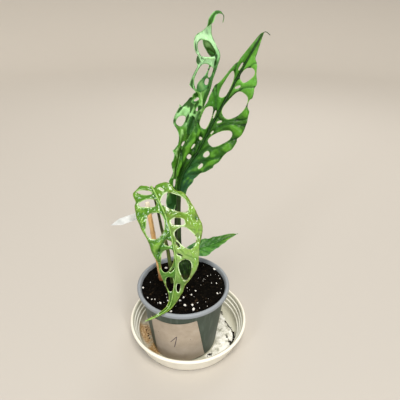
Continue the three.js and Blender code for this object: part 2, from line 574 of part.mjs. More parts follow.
function stemRing(centre, width, depth, sides) {
  return Array.from({ length: sides }, (_, j) => {
    const angle = (2 * Math.PI * j) / sides;
    const rib = 1 + 0.06 * Math.cos(angle * 7);
    return new THREE.Vector3(centre.x + width * rib * Math.cos(angle), centre.y + depth * rib * Math.sin(angle),
      centre.z);
  });
}

function stemBody(extra, sides) {
  const curve = new THREE.CatmullRomCurve3(STEM.path.map(vector), false, 'catmullrom');
  const steps = 15;
  const rings = [];
  for (let i = 0; i <= steps; i += 1) {
    const u = i / steps;
    const at = u * (STEM.path.length - 1);
    const k = Math.min(Math.floor(at), STEM.path.length - 2);
    const centre = curve.getPoint(u);
    const ring = STEM.ringHeights.reduce((sum, z) => sum + 0.5 * Math.exp(-(((centre.z - z) / 1.2) ** 2)), 0);
    const grow = extra ?? ring;
    rings.push(stemRing(centre, THREE.MathUtils.lerp(STEM.halfWidth[k], STEM.halfWidth[k + 1], at - k) + grow,
      THREE.MathUtils.lerp(STEM.halfDepth[k], STEM.halfDepth[k + 1], at - k) + grow, sides));
  }
  return toSolid(loft(rings));
}

function stem(sockets) {
  let solid = stemBody(undefined, 21);
  for (const socket of sockets) solid = solid.subtract(socket);
  return mesh('stem', toGeometry(solid), 0x3f5a22, 0.6);
}

const plant = new THREE.Group();
const standing = ['leaf_right', 'leaf_left', 'leaf_low'];
const socketFor = (leaf) => {
  const [foot, above] = leaf.petiole;
  const below = vector(foot).lerp(vector(above), -0.03).toArray();
  const beyond = vector(foot).lerp(vector(above), 1.3).toArray();
  return holeRound([below, foot, above, beyond], leaf.thick[0] + GAP + 0.1);
};
const frontPetiole = LEAVES.leaf_front.petiole;
const frontHole = holeRound([vector(frontPetiole[0]).lerp(vector(frontPetiole[1]), -0.02).toArray(),
  ...frontPetiole.slice(0, 3)], LEAVES.leaf_front.thick[0] + GAP + 0.1);
const stakeAxis = stakeDirection();
const stakeHole = holeRound([vector(STAKE.foot).addScaledVector(stakeAxis, -GAP).toArray(),
  vector(STAKE.foot).addScaledVector(stakeAxis, 60).toArray()], STAKE.radius * 1.04 + GAP + 0.1, 12);

plant.add(saucer(), pot(), paperLabel());
plant.add(soil([frontHole, stakeHole, stemBody(GAP + 0.2, 21)]));
plant.add(stake(), plantTag());
plant.add(stem(standing.map((name) => socketFor(LEAVES[name]))));
for (const [name, leaf] of Object.entries(LEAVES)) plant.add(leafMesh(name, leaf));

export default plant;
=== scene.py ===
import math

import bpy
import numpy as np
from mathutils import Matrix, Vector, geometry, kdtree


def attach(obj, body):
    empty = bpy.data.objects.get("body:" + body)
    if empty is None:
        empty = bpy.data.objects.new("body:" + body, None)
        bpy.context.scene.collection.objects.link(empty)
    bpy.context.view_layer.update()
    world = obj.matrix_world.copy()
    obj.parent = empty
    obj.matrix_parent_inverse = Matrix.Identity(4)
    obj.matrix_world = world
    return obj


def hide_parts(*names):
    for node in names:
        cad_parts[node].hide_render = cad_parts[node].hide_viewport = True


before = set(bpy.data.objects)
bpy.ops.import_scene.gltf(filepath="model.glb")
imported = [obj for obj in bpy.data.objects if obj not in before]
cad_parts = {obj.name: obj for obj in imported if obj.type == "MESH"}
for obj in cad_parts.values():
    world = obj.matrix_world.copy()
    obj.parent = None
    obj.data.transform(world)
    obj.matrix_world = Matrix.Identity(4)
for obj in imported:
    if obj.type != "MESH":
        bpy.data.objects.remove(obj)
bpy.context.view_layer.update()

# The camera stands where the photograph was taken, about 59 cm from the pot and above it. It looks down
# at 28 degrees with a slight lean to the left, and its lens gives a field of view of 55 degrees. The
# picture is shown without a film curve, so that the greens keep their depth.
camera_data = bpy.data.cameras.new("camera")
camera_data.sensor_width = 36
camera_data.lens = 34.2
camera = bpy.data.objects.new("camera", camera_data)
bpy.context.scene.collection.objects.link(camera)
camera.matrix_world = (
    Matrix.Translation((0.0149, -0.4007, 0.4303))
    @ Matrix.Rotation(math.radians(61.75), 4, "X")
    @ Matrix.Rotation(math.radians(0.64), 4, "Z")
)
bpy.context.scene.camera = camera
bpy.context.scene.view_settings.view_transform = "Standard"


# The floor is a pale matt studio cove: a flat disc under the saucer that rises to a wall all round, far
# off. It isn't part of the object.
def linear(code):
    """An sRGB hex colour as linear red, green, blue and alpha."""
    parts = [int(code[i : i + 2], 16) / 255 for i in (1, 3, 5)]
    return [c / 12.92 if c <= 0.04045 else ((c + 0.055) / 1.055) ** 2.4 for c in parts] + [1.0]


# Inputs given as a list go to a node's first sockets, or to these: a mix's share and its two colours, and a
# noise's place, scale, detail and roughness. A node given as an input is linked from its first output, or
# from the one named here.
LISTED_SOCKETS = {"ShaderNodeMix": (0, 6, 7), "ShaderNodeTexNoise": (0, 2, 3, 4)}
LINKED_OUTPUT = {"ShaderNodeMix": 2, "ShaderNodeAttribute": 2, "ShaderNodeTexCoord": 3}


def fill(tree, node, inputs):
    """Fills a node's inputs with values and sRGB codes, or links them to outputs and to other nodes."""
    if not isinstance(inputs, dict):
        inputs = dict(zip(LISTED_SOCKETS.get(node.bl_idname, range(5)), inputs))
    for name, value in inputs.items():
        if isinstance(value, bpy.types.Node):
            value = value.outputs[LINKED_OUTPUT.get(value.bl_idname, 0)]
        if isinstance(value, bpy.types.NodeSocket):
            tree.links.new(value, node.inputs[name])
        else:
            node.inputs[name].default_value = linear(value) if isinstance(value, str) else value


def add_node(tree, kind, inputs=(), **settings):
    """Adds a node, sets its properties and colour stops, and fills its inputs. A Mix node mixes colours."""
    node = tree.nodes.new(kind if "Node" in kind else "ShaderNode" + kind)
    if kind == "Mix":
        node.data_type = "RGBA"
    for name, value in settings.items():
        if name == "stops":
            stops = node.color_ramp.elements
            while len(stops) < len(value):
                stops.new(1.0)
            for stop, (position, code) in zip(stops, value):
                stop.position = position
                stop.color = linear(code)
        else:
            setattr(node, name, value)
    fill(tree, node, inputs)
    return node


def new_material(name):
    """A material with its node tree, its Principled shader and its object coordinates."""
    material = bpy.data.materials.new(name)
    material.use_nodes = True
    tree = material.node_tree
    coords = add_node(tree, "TexCoord")
    return material, tree, tree.nodes["Principled BSDF"], coords


def turned(profile, around, middle=(0.0, 0.0)):
    """Vertices and faces of a profile of (radius, height) turned about an upright axis, ends on the axis."""
    angles = np.linspace(0, 2 * math.pi, around, endpoint=False)
    vertices = []
    rings = []
    for radius, height in profile:
        if radius < 1e-6:
            rings.append([len(vertices)])
            vertices.append((middle[0], middle[1], height))
        else:
            rings.append(range(len(vertices), len(vertices) + around))
            vertices += [
                (middle[0] + radius * math.cos(a), middle[1] + radius * math.sin(a), height)
                for a in angles
            ]
    faces = []
    for low, high in zip(rings, rings[1:]):
        for i in range(around):
            j = (i + 1) % around
            if len(low) == 1:
                faces.append((low[0], high[j], high[i]))
            elif len(high) == 1:
                faces.append((low[i], low[j], high[0]))
            else:
                faces.append((low[i], low[j], high[j], high[i]))
    return vertices, faces


def make_mesh(name, vertices, faces, materials, attributes=None, sharp=40, slots=None):
    """An object at the origin from vertices in millimetres, with its attributes and smooth shading."""
    mesh = bpy.data.meshes.new(name)
    mesh.from_pydata([tuple(0.001 * c for c in v) for v in vertices], [], [tuple(f) for f in faces])
    for material in materials:
        mesh.materials.append(material)
    if slots is not None:
        mesh.polygons.foreach_set("material_index", slots)
    for title, values in (attributes or {}).items():
        layer = mesh.attributes.new(title, "FLOAT", "POINT")
        layer.data.foreach_set("value", np.asarray(values, dtype=np.float32))
    mesh.validate()
    mesh.shade_smooth()
    mesh.set_sharp_from_angle(angle=math.radians(sharp))
    made = bpy.data.objects.new(name, mesh)
    bpy.context.scene.collection.objects.link(made)
    return made


cove_material, tree, shader, _ = new_material("matt studio paint")
fill(tree, shader, {"Base Color": "#bbb5ac", "Roughness": 0.9})
COVE_RADIUS = 2200
COVE_BEND = 900
cove_profile = [(0, 0), (300, 0), (1000, 0), (COVE_RADIUS, 0)]
for degrees in range(10, 91, 10):
    t = math.radians(degrees)
    cove_profile.append((COVE_RADIUS + COVE_BEND * math.sin(t), COVE_BEND - COVE_BEND * math.cos(t)))
cove_profile.append((COVE_RADIUS + COVE_BEND, 2600))
cove = make_mesh("floor", *turned(cove_profile, 96), [cove_material])

# The light is soft and comes mainly from above and in front. Two narrow window panes in front and a strip
# behind put streaks on the leaves' wax, and an even pale sky fills the rest.
sun_data = bpy.data.lights.new("overhead light", "SUN")
sun_data.energy = 2.7
sun_data.angle = math.radians(26)
sun_data.color = linear("#fffaf2")[:3]
sun = bpy.data.objects.new("overhead light", sun_data)
bpy.context.scene.collection.objects.link(sun)
sun.matrix_world = Vector((-0.1, 0.42, -1.0)).to_track_quat("-Z", "Y").to_matrix().to_4x4()
for title, place, aim, width, height, watts, colour in [
    ("right window pane", (0.45, -1.15, 0.62), (0, 0, 0.2), 0.12, 0.5, 7.0, "#f6faff"),
    ("left window pane", (-0.7, -1.0, 0.75), (0, 0, 0.2), 0.12, 0.5, 4.5, "#f6faff"),
    ("rim strip", (0.35, 1.2, 1.2), (0, 0, 0.25), 1.0, 0.4, 7, "#ffffff"),
]:
    light_data = bpy.data.lights.new(title, "AREA")
    light_data.shape = "RECTANGLE"
    light_data.size = width
    light_data.size_y = height
    light_data.energy = watts
    light_data.color = linear(colour)[:3]
    light = bpy.data.objects.new(title, light_data)
    bpy.context.scene.collection.objects.link(light)
    turn = (Vector(aim) - Vector(place)).to_track_quat("-Z", "Y").to_matrix().to_4x4()
    light.matrix_world = Matrix.Translation(place) @ turn
world = bpy.data.worlds.new("pale sky")
world.use_nodes = True
world.node_tree.nodes["Background"].inputs["Color"].default_value = linear("#f4f6fa")
world.node_tree.nodes["Background"].inputs["Strength"].default_value = 0.32
bpy.context.scene.world = world

# The saucer is one moulding of cream white polypropylene. Its wall flares in three steps to a rolled rim,
# and hard water has left tan and chalky stains inside it.
SAUCER_OUTSIDE = [(0, 0, 0), (69.6, 0, 2.2), (72.6, 5.2, 6), (78.3, 23.2, 1.0), (79.0, 24.9, 0.4)]
SAUCER_INSIDE = [
    (76.8, 27.2, 0.4), (76.5, 24.1, 0.7), (75.1, 23.3, 0.9), (74.3, 18.1, 0.7), (72.9, 17.3, 0.9),
    (71.9, 11.9, 0.7), (70.5, 11.1, 0.9), (69.3, 5.6, 1.5), (67.2, 3.0, 2.0), (63.8, 2.2, 2.0), (0, 2.2, 0),
]
SAUCER_LEDGES = (23.7, 17.7, 11.5)
RIM_BEAD = {"radius": 79.2, "z": 27.2, "size": 2.3}
AROUND = 160


def unit(vector):
    """A vector in the same direction, of length 1."""
    return vector / np.linalg.norm(vector)


def rounded(corners):
    """A profile of (along, up, radius) corners, each corner between the ends turned into a short arc."""
    path = []
    for i, (x, y, radius) in enumerate(corners):
        if i in (0, len(corners) - 1):
            path.append((x, y))
            continue
        here = np.array((x, y), float)
        back = np.array(corners[i - 1][:2], float) - here
        ahead = np.array(corners[i + 1][:2], float) - here
        reach = min(radius, 0.45 * np.linalg.norm(back), 0.45 * np.linalg.norm(ahead))
        start = here + unit(back) * reach
        end = here + unit(ahead) * reach
        for t in (0, 0.25, 0.5, 0.75, 1):
            bend = (1 - t) ** 2 * start + 2 * t * (1 - t) * here + t**2 * end
            path.append(tuple(bend))
    return path


saucer_outside = rounded(SAUCER_OUTSIDE)
saucer_bead = []
for degrees in range(-70, 181, 18):
    t = math.radians(degrees)
    saucer_bead.append((
        RIM_BEAD["radius"] + RIM_BEAD["size"] * math.cos(t), RIM_BEAD["z"] + RIM_BEAD["size"] * math.sin(t)))
saucer_profile = saucer_outside + saucer_bead + rounded(SAUCER_INSIDE)[1:]
inner_start = len(saucer_outside) + len(saucer_bead) - 4
# Masks for the inside of the saucer and for the painted highlights along the edges of its steps.
saucer_inner = []
saucer_ledge_highlight = []
for i, (radius, z) in enumerate(saucer_profile):
    count = 1 if radius < 1e-6 else AROUND
    nearest = min(abs(z - ledge) for ledge in SAUCER_LEDGES)
    saucer_inner += [1.0 if i >= inner_start else 0.0] * count
    saucer_ledge_highlight += [1.0 if i >= inner_start and nearest < 0.55 else 0.0] * count

SMOOTH = {"interpolation_type": "SMOOTHSTEP"}


def grain(size):
    """The scale of a pattern whose grains are so many millimetres wide, as a whole number to the metre."""
    return round(1000 / size)


# Moulded polypropylene: milky, satin, with soft highlights, and dried water stains that dull it.
polypropylene, tree, shader, coords = new_material("polypropylene, cream white")
inner = add_node(tree, "Attribute", attribute_name="inner")
ledge = add_node(tree, "Attribute", attribute_name="ledge")
place = add_node(tree, "SeparateXYZ", [coords])
cloud = add_node(tree, "TexNoise", [coords, grain(18.2), 6, 0.6])
grit = add_node(tree, "TexNoise", [coords, grain(2.38), 3])
leftward = add_node(tree, "MapRange", [place.outputs["X"], 0.0, -0.07], **SMOOTH)
low = add_node(tree, "MapRange", [place.outputs["Z"], 0.027, 0.006], **SMOOTH)
stain_place = add_node(tree, "Math", [leftward, low], operation="MULTIPLY")
stain_cloud = add_node(tree, "MapRange", [cloud, 0.3, 0.62, 0.0, 0.4])
stain = add_node(tree, "Math", [stain_place, stain_cloud], operation="MULTIPLY", use_clamp=True)
stain_inside = add_node(tree, "Math", [stain, inner], operation="MULTIPLY")
plain = add_node(tree, "Mix", [cloud, "#f4efe0", "#e6e0ce"])
# The inside is painted a darker grey-green, as painted shade.
shaded = add_node(tree, "Mix", [inner, plain, "#c6c4b0"])
tanned = add_node(tree, "Mix", [stain_inside, shaded, "#93794c"])
# The edges of the steps are painted near-white, as painted highlights.
edged = add_node(tree, "Mix", [ledge, tanned, "#f6f4e6"])
# A tan mark lies on the floor at the left, given by the directions across and along it, how far its middle
# is from the saucer's middle, and where it begins and is full.
mark_shares = []
for direction, middle, begins, full in [
    ((0.884, 0.467, 0.0), 0.0575, 0.0105, 0.006), ((0.467, -0.884, 0.0), 0.006, 0.034, 0.026),
]:
    distance = add_node(tree, "VectorMath", [coords, direction], operation="DOT_PRODUCT")
    shifted = add_node(tree, "Math", [distance.outputs["Value"], middle], operation="ADD")
    off = add_node(tree, "Math", [shifted], operation="ABSOLUTE")
    mark_shares.append(add_node(tree, "MapRange", [off, begins, full], **SMOOTH))
mark_shares.append(add_node(tree, "MapRange", [place.outputs["Z"], 0.013, 0.008], **SMOOTH))
mark_shares.append(add_node(tree, "MapRange", [cloud, 0.38, 0.5, 0.4, 1.0]))
mark = mark_shares[0]
for share in mark_shares[1:]:
    mark = add_node(tree, "Math", [mark, share], operation="MULTIPLY", use_clamp=True)
scale_grit = add_node(tree, "ValToRGB", [grit], stops=[
    (0.36, "#8a6636"), (0.5, "#b08a56"), (0.64, "#ceb488")])
marked = add_node(tree, "Mix", [mark, edged, scale_grit])
specks = add_node(tree, "MapRange", [grit, 0.66, 0.74, 0.0, 0.45])
speck_inside = add_node(tree, "Math", [specks, inner], operation="MULTIPLY")
dirty = add_node(tree, "Mix", [speck_inside, marked, "#5c4a2e"])
gloss = add_node(tree, "MapRange", [stain_inside, 0.0, 1.0, 0.34, 0.8])
relief = add_node(tree, "Bump", {"Height": grit, "Strength": 0.15, "Distance": 0.0004})
fill(tree, shader, {"Base Color": dirty, "Roughness": gloss, "Normal": relief, "IOR": 1.49})

saucer = make_mesh("saucer_moulding", *turned(saucer_profile, AROUND), [polypropylene],
    {"inner": saucer_inner, "ledge": saucer_ledge_highlight})
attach(saucer, "root")
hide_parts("saucer")

# The pot is a thin grey polypropylene nursery pot: a tapered wall, a rolled collar at the top, and a
# raised floor with six drain holes. It is a little scuffed, and its collar is painted a paler, bluer grey.
POT_MIDDLE = (-5.6, -13.4)
POT_OUTSIDE = [
    (0, 4.0, 0), (38, 4.0, 0.6), (40, 2.5, 0.5), (43, 2.5, 0.6), (44.3, 3.9, 1.4), (54.9, 92.6, 0.9),
    (57.0, 93.2, 0.8), (59.5, 93.8, 0.9), (60.0, 95.2, 0.8), (60.0, 98.2, 0.9), (58.4, 99.6, 1.2),
    (56.3, 99.4, 0.9), (55.1, 97.4, 1.2), (53.0, 90.0, 2), (43.4, 8.2, 1.5), (41.8, 5.7, 1.2), (0, 5.7, 0),
]
DRAIN_HOLES = 6
DRAIN_CIRCLE = 30
DRAIN_RADIUS = 3.5

# Moulded polypropylene, pigmented grey: satin, with fine vertical scuffs, and painted paler and bluer on the
# collar.
grey_polypropylene, tree, shader, coords = new_material("polypropylene, grey")
place = add_node(tree, "SeparateXYZ", [coords])
cloud = add_node(tree, "TexNoise", [coords, grain(25), 5, 0.55])
stretch = add_node(tree, "Mapping", {"Vector": coords, "Scale": (1.0, 1.0, 0.12)})
scuffs = add_node(tree, "TexNoise", [stretch, grain(3.03), 3])
grey = add_node(tree, "Mix", [cloud, "#384238", "#4a564a"])
scuff_share = add_node(tree, "MapRange", [scuffs, 0.5, 0.75, 0.0, 0.35])
scuffed = add_node(tree, "Mix", [scuff_share, grey, "#6c786c"])
collar = add_node(tree, "MapRange", [place.outputs["Z"], 0.0925, 0.0955], **SMOOTH)
paler_collar = add_node(tree, "Mix", [collar, scuffed, "#8b9094"])
gloss = add_node(tree, "MapRange", [cloud, 0.0, 1.0, 0.38, 0.58])
relief = add_node(tree, "Bump", {"Height": scuffs, "Strength": 0.12, "Distance": 0.0004})
fill(tree, shader, {
    "Base Color": paler_collar, "Roughness": gloss, "Normal": relief, "IOR": 1.49, "Specular IOR Level": 0.3})


def joined(parts):
    """Several parts, each given as vertices and faces, as one list of each."""
    vertices = []
    faces = []
    for part_vertices, part_faces in parts:
        faces += [tuple(v + len(vertices) for v in face) for face in part_faces]
        vertices += list(part_vertices)
    return vertices, faces


def settle(piece):
    """Turns a piece's modifiers into its plain mesh."""
    graph = bpy.context.evaluated_depsgraph_get()
    graph.update()
    mesh = bpy.data.meshes.new_from_object(piece.evaluated_get(graph))
    piece.modifiers.clear()
    piece.data = mesh


def cut_away(piece, cutter):
    """Cuts another object out of a piece and removes that object."""
    cut = piece.modifiers.new("cut", "BOOLEAN")
    cut.operation = "DIFFERENCE"
    cut.solver = "EXACT"
    cut.object = cutter
    settle(piece)
    bpy.data.objects.remove(cutter)


pot = make_mesh("pot_moulding", *turned(rounded(POT_OUTSIDE), AROUND, POT_MIDDLE), [grey_polypropylene])
drills = []
for i in range(DRAIN_HOLES):
    angle = math.radians(360 / DRAIN_HOLES * i)
    middle = (POT_MIDDLE[0] + DRAIN_CIRCLE * math.cos(angle), POT_MIDDLE[1] + DRAIN_CIRCLE * math.sin(angle))
    drills.append(turned([(0, -2), (DRAIN_RADIUS, -2), (DRAIN_RADIUS, 12), (0, 12)], 24, middle))
cut_away(pot, make_mesh("drills", *joined(drills), [grey_polypropylene]))
pot.data.set_sharp_from_angle(angle=math.radians(40))
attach(pot, "root")
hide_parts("pot")

# The label is a sheet of beige paper, cut by hand and glued round the front of the pot. It has gone
# slightly wavy with damp, and one corner has lifted.
LABEL = {
    "left": ((-28.2, -44.0), (-29.9, 32.9)), "right": ((41.7, -37.3), (32.8, 39.1)),
    "azimuth": -15.0, "middle_z": 43.0, "back": 0.15, "front": 0.45,
}
LABEL_ROWS = 40
LABEL_COLUMNS = 48
# The pot's wall is a cone that flares by 11 mm over a height of 91 mm.
WALL_FOOT = {"radius": 44, "z": 2.5}
CONE_SLOPE = 11 / 91
CONE_SINE = CONE_SLOPE / math.hypot(1, CONE_SLOPE)
CONE_COSINE = 1 / math.hypot(1, CONE_SLOPE)


def on_wall(across, up, lift):
    """A point of the pot's unrolled wall, lifted off it by so many millimetres."""
    apex = (WALL_FOOT["radius"] + (LABEL["middle_z"] - WALL_FOOT["z"]) * CONE_SLOPE) / CONE_SINE
    distance = math.hypot(apex + up, across)
    angle = math.radians(LABEL["azimuth"]) + math.atan2(across, apex + up) / CONE_SINE
    z = max(LABEL["middle_z"] + (distance - apex) * CONE_COSINE, 4.5)
    radius = WALL_FOOT["radius"] + (z - WALL_FOOT["z"]) * CONE_SLOPE + lift
    return (POT_MIDDLE[0] + radius * math.sin(angle), POT_MIDDLE[1] - radius * math.cos(angle), z)


def on_label(u, v, lift):
    """A point of the label at shares u across and v up it."""
    low = [a + (b - a) * u for a, b in zip(LABEL["left"][0], LABEL["right"][0])]
    high = [a + (b - a) * u for a, b in zip(LABEL["left"][1], LABEL["right"][1])]
    across, up = [a + (b - a) * v for a, b in zip(low, high)]
    wave = 0.16 + 0.14 * math.sin(9 * u + 2 * v) * math.sin(7 * v + 1.0)
    corner = max(0.0, u - 0.86) / 0.14 * max(0.0, 0.12 - v) / 0.12
    return on_wall(across, up, lift + wave + 1.1 * corner)


def sheet_between(front, back, rows, columns):
    """A closed thin sheet between two grids of points, given row by row."""
    vertices = front + back
    faces = []
    for i in range(rows - 1):
        for j in range(columns - 1):
            a, b = i * columns + j, i * columns + j + 1
            c, d = b + columns, a + columns
            faces.append((a, b, c, d))
            faces.append(tuple(v + len(front) for v in (d, c, b, a)))
    border = list(range(columns))
    border += [i * columns + columns - 1 for i in range(1, rows)]
    border += [(rows - 1) * columns + j for j in range(columns - 2, -1, -1)]
    border += [i * columns for i in range(rows - 2, 0, -1)]
    for a, b in zip(border, border[1:] + border[:1]):
        faces.append((b, a, a + len(front), b + len(front)))
    return vertices, faces


label_front, label_back = [
    [on_label(j / (LABEL_COLUMNS - 1), i / (LABEL_ROWS - 1), lift)
     for i in range(LABEL_ROWS) for j in range(LABEL_COLUMNS)]
    for lift in (LABEL["front"], LABEL["back"])
]

# Uncoated paper: matt, warm beige, with cloudy damp marks and faint fibres. The fibres are drawn coarser
# than they are, so that they show.
paper, tree, shader, coords = new_material("uncoated paper, beige")
blotch = add_node(tree, "TexNoise", [coords, grain(14.3), 4, 0.6])
fibre = add_node(tree, "TexNoise", [coords, grain(1.111), 4, 0.7])
place = add_node(tree, "SeparateXYZ", [coords])
beige = add_node(tree, "ValToRGB", [blotch], stops=[(0.3, "#a59783"), (0.52, "#b0a18e"), (0.72, "#b7aa98")])
upward = add_node(tree, "MapRange", [place.outputs["Z"], 0.012, 0.05, 0.4, 0.0], **SMOOTH)
damp_paper = add_node(tree, "Mix", [upward, beige, "#aca196"])
fibre_shade = add_node(tree, "MapRange", [fibre, 0.0, 1.0, 0.78, 1.15])
fibrous = add_node(tree, "Mix", [0.35, damp_paper, fibre_shade], blend_type="MULTIPLY")
relief = add_node(tree, "Bump", {"Height": fibre, "Strength": 0.2, "Distance": 0.0002})
fill(tree, shader, {"Base Color": fibrous, "Roughness": 0.82, "Normal": relief})

label = make_mesh(
    "label_sheet", *sheet_between(label_front, label_back, LABEL_ROWS, LABEL_COLUMNS), [paper], sharp=60)
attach(label, "root")
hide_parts("paper_label")

# A single figure 1 is written on the label with a thin pen, in two strokes, and two specks of dirt lie
# beside it. The ink stands a hair above the paper.
INK_STROKES = [
    [(0.408, 0.530), (0.445, 0.569), (0.482, 0.609), (0.519, 0.649), (0.556, 0.688)],
    [(0.556, 0.688), (0.536, 0.617), (0.514, 0.546), (0.492, 0.475), (0.468, 0.405)],
    [(0.150, 0.684), (0.164, 0.690)],
    [(0.797, 0.577), (0.807, 0.571)],
]
INK_WIDTHS = [0.7, 0.95, 1.15, 1.15, 0.9]
INK_FRONT = 0.51
INK_BACK = 0.42
LABEL_SIZE = (70, 76)
ink_parts = []
for stroke in INK_STROKES:
    front = []
    back = []
    for i, (u, v) in enumerate(stroke):
        ahead = stroke[min(i + 1, len(stroke) - 1)]
        behind = stroke[max(i - 1, 0)]
        du, dv = [(a - b) * span for a, b, span in zip(ahead, behind, LABEL_SIZE)]
        size = math.hypot(du, dv)
        for side in (-0.5, 0.5):
            su = u - side * INK_WIDTHS[i] * dv / size / LABEL_SIZE[0]
            sv = v + side * INK_WIDTHS[i] * du / size / LABEL_SIZE[1]
            front.append(on_label(su, sv, INK_FRONT))
            back.append(on_label(su, sv, INK_BACK))
    vertices, faces = sheet_between(front, back, len(stroke), 2)
    ink_parts.append((vertices, [face[::-1] for face in faces]))

# Ballpoint ink: a dull blue-black line that has sunk a little into the paper.
ink, tree, shader, coords = new_material("ballpoint ink")
skip = add_node(tree, "TexNoise", [coords, grain(1.111), 2])
fill(tree, shader, {"Base Color": add_node(tree, "Mix", [skip, "#332a35", "#5a4c50"]), "Roughness": 0.6})
pen_mark = make_mesh("pen_mark", *joined(ink_parts), [ink])
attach(pen_mark, "root")

# The soil is peat-based potting mix, nearly black with damp, pressed level a little below the collar. Its
# surface is all crumbs, with brown bark and fibre in it.
SOIL_LEVEL = 95.2


def soil_height(x, y):
    """The height of the soil over a point measured from the pot's middle."""
    lumps = (
        math.sin(x * 0.42 + 0.6) * math.cos(y * 0.37 - 0.9)
        + 0.6 * math.sin(x * 0.81 - y * 0.66)
        + 0.5 * math.cos(x * 0.23 + y * 1.05 + 2)
        + 0.35 * math.sin(x * 1.9 + 1.1 * math.sin(y * 1.3)) * math.cos(y * 2.1 - 0.7 * math.sin(x))
    )
    bank = math.exp(-((x - 33) ** 2 + (y - 38) ** 2) / 60)
    return SOIL_LEVEL + 0.6 * lumps + 1.6 * bank


SOIL_RINGS = 64
SOIL_AROUND = 150
SOIL_EDGE = 54.2
SOIL_FOOT = 6.2
# The circles of the surface, which follow its height, and then those of the sides.
soil_circles = [(SOIL_EDGE * i / SOIL_RINGS, None) for i in range(1, SOIL_RINGS + 1)]
soil_circles += [(52.7, 90.0), (43.2, 11.0), (41.0, SOIL_FOOT)]
soil_vertices = [(POT_MIDDLE[0], POT_MIDDLE[1], soil_height(0, 0))]
for radius, z in soil_circles:
    for j in range(SOIL_AROUND):
        angle = 2 * math.pi * j / SOIL_AROUND
        x, y = radius * math.cos(angle), radius * math.sin(angle)
        soil_vertices.append((POT_MIDDLE[0] + x, POT_MIDDLE[1] + y, soil_height(x, y) if z is None else z))
last = len(soil_vertices)
soil_vertices.append((POT_MIDDLE[0], POT_MIDDLE[1], SOIL_FOOT))
soil_faces = [(0, 1 + j, 1 + (j + 1) % SOIL_AROUND) for j in range(SOIL_AROUND)]
for i in range(len(soil_circles) - 1):
    for j in range(SOIL_AROUND):
        a, b = 1 + i * SOIL_AROUND + j, 1 + i * SOIL_AROUND + (j + 1) % SOIL_AROUND
        soil_faces.append((a, a + SOIL_AROUND, b + SOIL_AROUND, b))
for j in range(SOIL_AROUND):
    soil_faces.append((last, last - SOIL_AROUND + (j + 1) % SOIL_AROUND, last - SOIL_AROUND + j))

# Damp peat: almost black, with rusty fibres, and quite matt.
peat, tree, shader, coords = new_material("potting mix, damp peat")
crumb = add_node(tree, "TexVoronoi", {"Vector": coords, "Scale": grain(2.083)})
clump = add_node(tree, "TexNoise", [coords, grain(6.67), 8, 0.7])
dark = add_node(tree, "ValToRGB", [clump], stops=[
    (0.32, "#040302"), (0.55, "#0a0805"), (0.68, "#15100a"), (0.8, "#2c1e13")])
rough = add_node(tree, "Bump", {"Height": clump, "Strength": 0.9, "Distance": 0.002})
relief = add_node(tree, "Bump", {"Height": crumb, "Strength": 0.7, "Distance": 0.0012, "Normal": rough})
fill(tree, shader, {"Base Color": dark, "Roughness": 0.85, "Specular IOR Level": 0.04, "Normal": relief})

soil = make_mesh("soil_bed", soil_vertices, soil_faces, [peat], sharp=180)
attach(soil, "root")
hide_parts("soil")


# Loose crumbs of peat and bark, and white grains of perlite, lie on the soil. Each is a small broken lump
# set on the surface by one geometry tree.
def scatter_tree(name, material):
    """Puts a chipped lump of a given size and spread on every vertex of a mesh, turned at random."""
    nodes = bpy.data.node_groups.new(name, "GeometryNodeTree")
    face = nodes.interface
    face.new_socket("Geometry", in_out="INPUT", socket_type="NodeSocketGeometry")
    for title in ("Size", "Spread", "Flatness"):
        face.new_socket(title, in_out="INPUT", socket_type="NodeSocketFloat")
    face.new_socket("Seed", in_out="INPUT", socket_type="NodeSocketInt")
    face.new_socket("Geometry", in_out="OUTPUT", socket_type="NodeSocketGeometry")
    given = add_node(nodes, "NodeGroupInput")
    size, spread, flatness, seed = [given.outputs[title] for title in ("Size", "Spread", "Flatness", "Seed")]
    ball = add_node(nodes, "GeometryNodeMeshIcoSphere", {"Radius": 1.0, "Subdivisions": 2})
    chips = add_node(nodes, "TexVoronoi", {"Scale": 1.1})
    chip_depth = add_node(nodes, "Math", [chips, -0.75, 0.3], operation="MULTIPLY_ADD")
    outward = add_node(nodes, "GeometryNodeInputNormal")
    dent = add_node(nodes, "VectorMath", {0: outward, "Scale": chip_depth}, operation="SCALE")
    lump = add_node(nodes, "GeometryNodeSetPosition", {"Geometry": ball, "Offset": dent})
    low = add_node(nodes, "Math", [1.0, spread], operation="SUBTRACT")
    high = add_node(nodes, "Math", [1.0, spread], operation="ADD")
    share = add_node(nodes, "FunctionNodeRandomValue", {2: low, 3: high, "Seed": seed}, data_type="FLOAT")
    sized = add_node(nodes, "Math", [share.outputs[1], size], operation="MULTIPLY")
    flat = add_node(nodes, "Math", [sized, flatness], operation="MULTIPLY")
    scale = add_node(nodes, "CombineXYZ", [sized, flat, flat])
    turn_seed = add_node(nodes, "Math", [seed, 7.0], operation="ADD")
    turn = add_node(nodes, "FunctionNodeRandomValue", {
        0: (-0.5, -0.5, 0.0), 1: (0.5, 0.5, 6.283), "Seed": turn_seed}, data_type="FLOAT_VECTOR")
    placed = add_node(nodes, "GeometryNodeInstanceOnPoints", {
        "Points": given, "Instance": lump, "Rotation": turn, "Scale": scale})
    real = add_node(nodes, "GeometryNodeRealizeInstances", [placed])
    finished = add_node(nodes, "GeometryNodeSetMaterial", {"Geometry": real, "Material": material})
    add_node(nodes, "NodeGroupOutput", [finished])
    return nodes


def scattered(name, points, material, size, spread, flatness, seed):
    """A plain mesh of lumps at the given points, in millimetres."""
    lumps = make_mesh(name, points, [], [material])
    modifier = lumps.modifiers.new("scatter", "NODES")
    modifier.node_group = scatter_tree(name, material)
    values = {"Size": size * 0.001, "Spread": spread, "Flatness": flatness, "Seed": seed}
    for item in modifier.node_group.interface.items_tree:
        if item.in_out == "INPUT" and item.name in values:
            modifier[item.identifier] = values[item.name]
    settle(lumps)
    lumps.data.shade_smooth()
    lumps.data.set_sharp_from_angle(angle=math.radians(35))
    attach(lumps, "root")


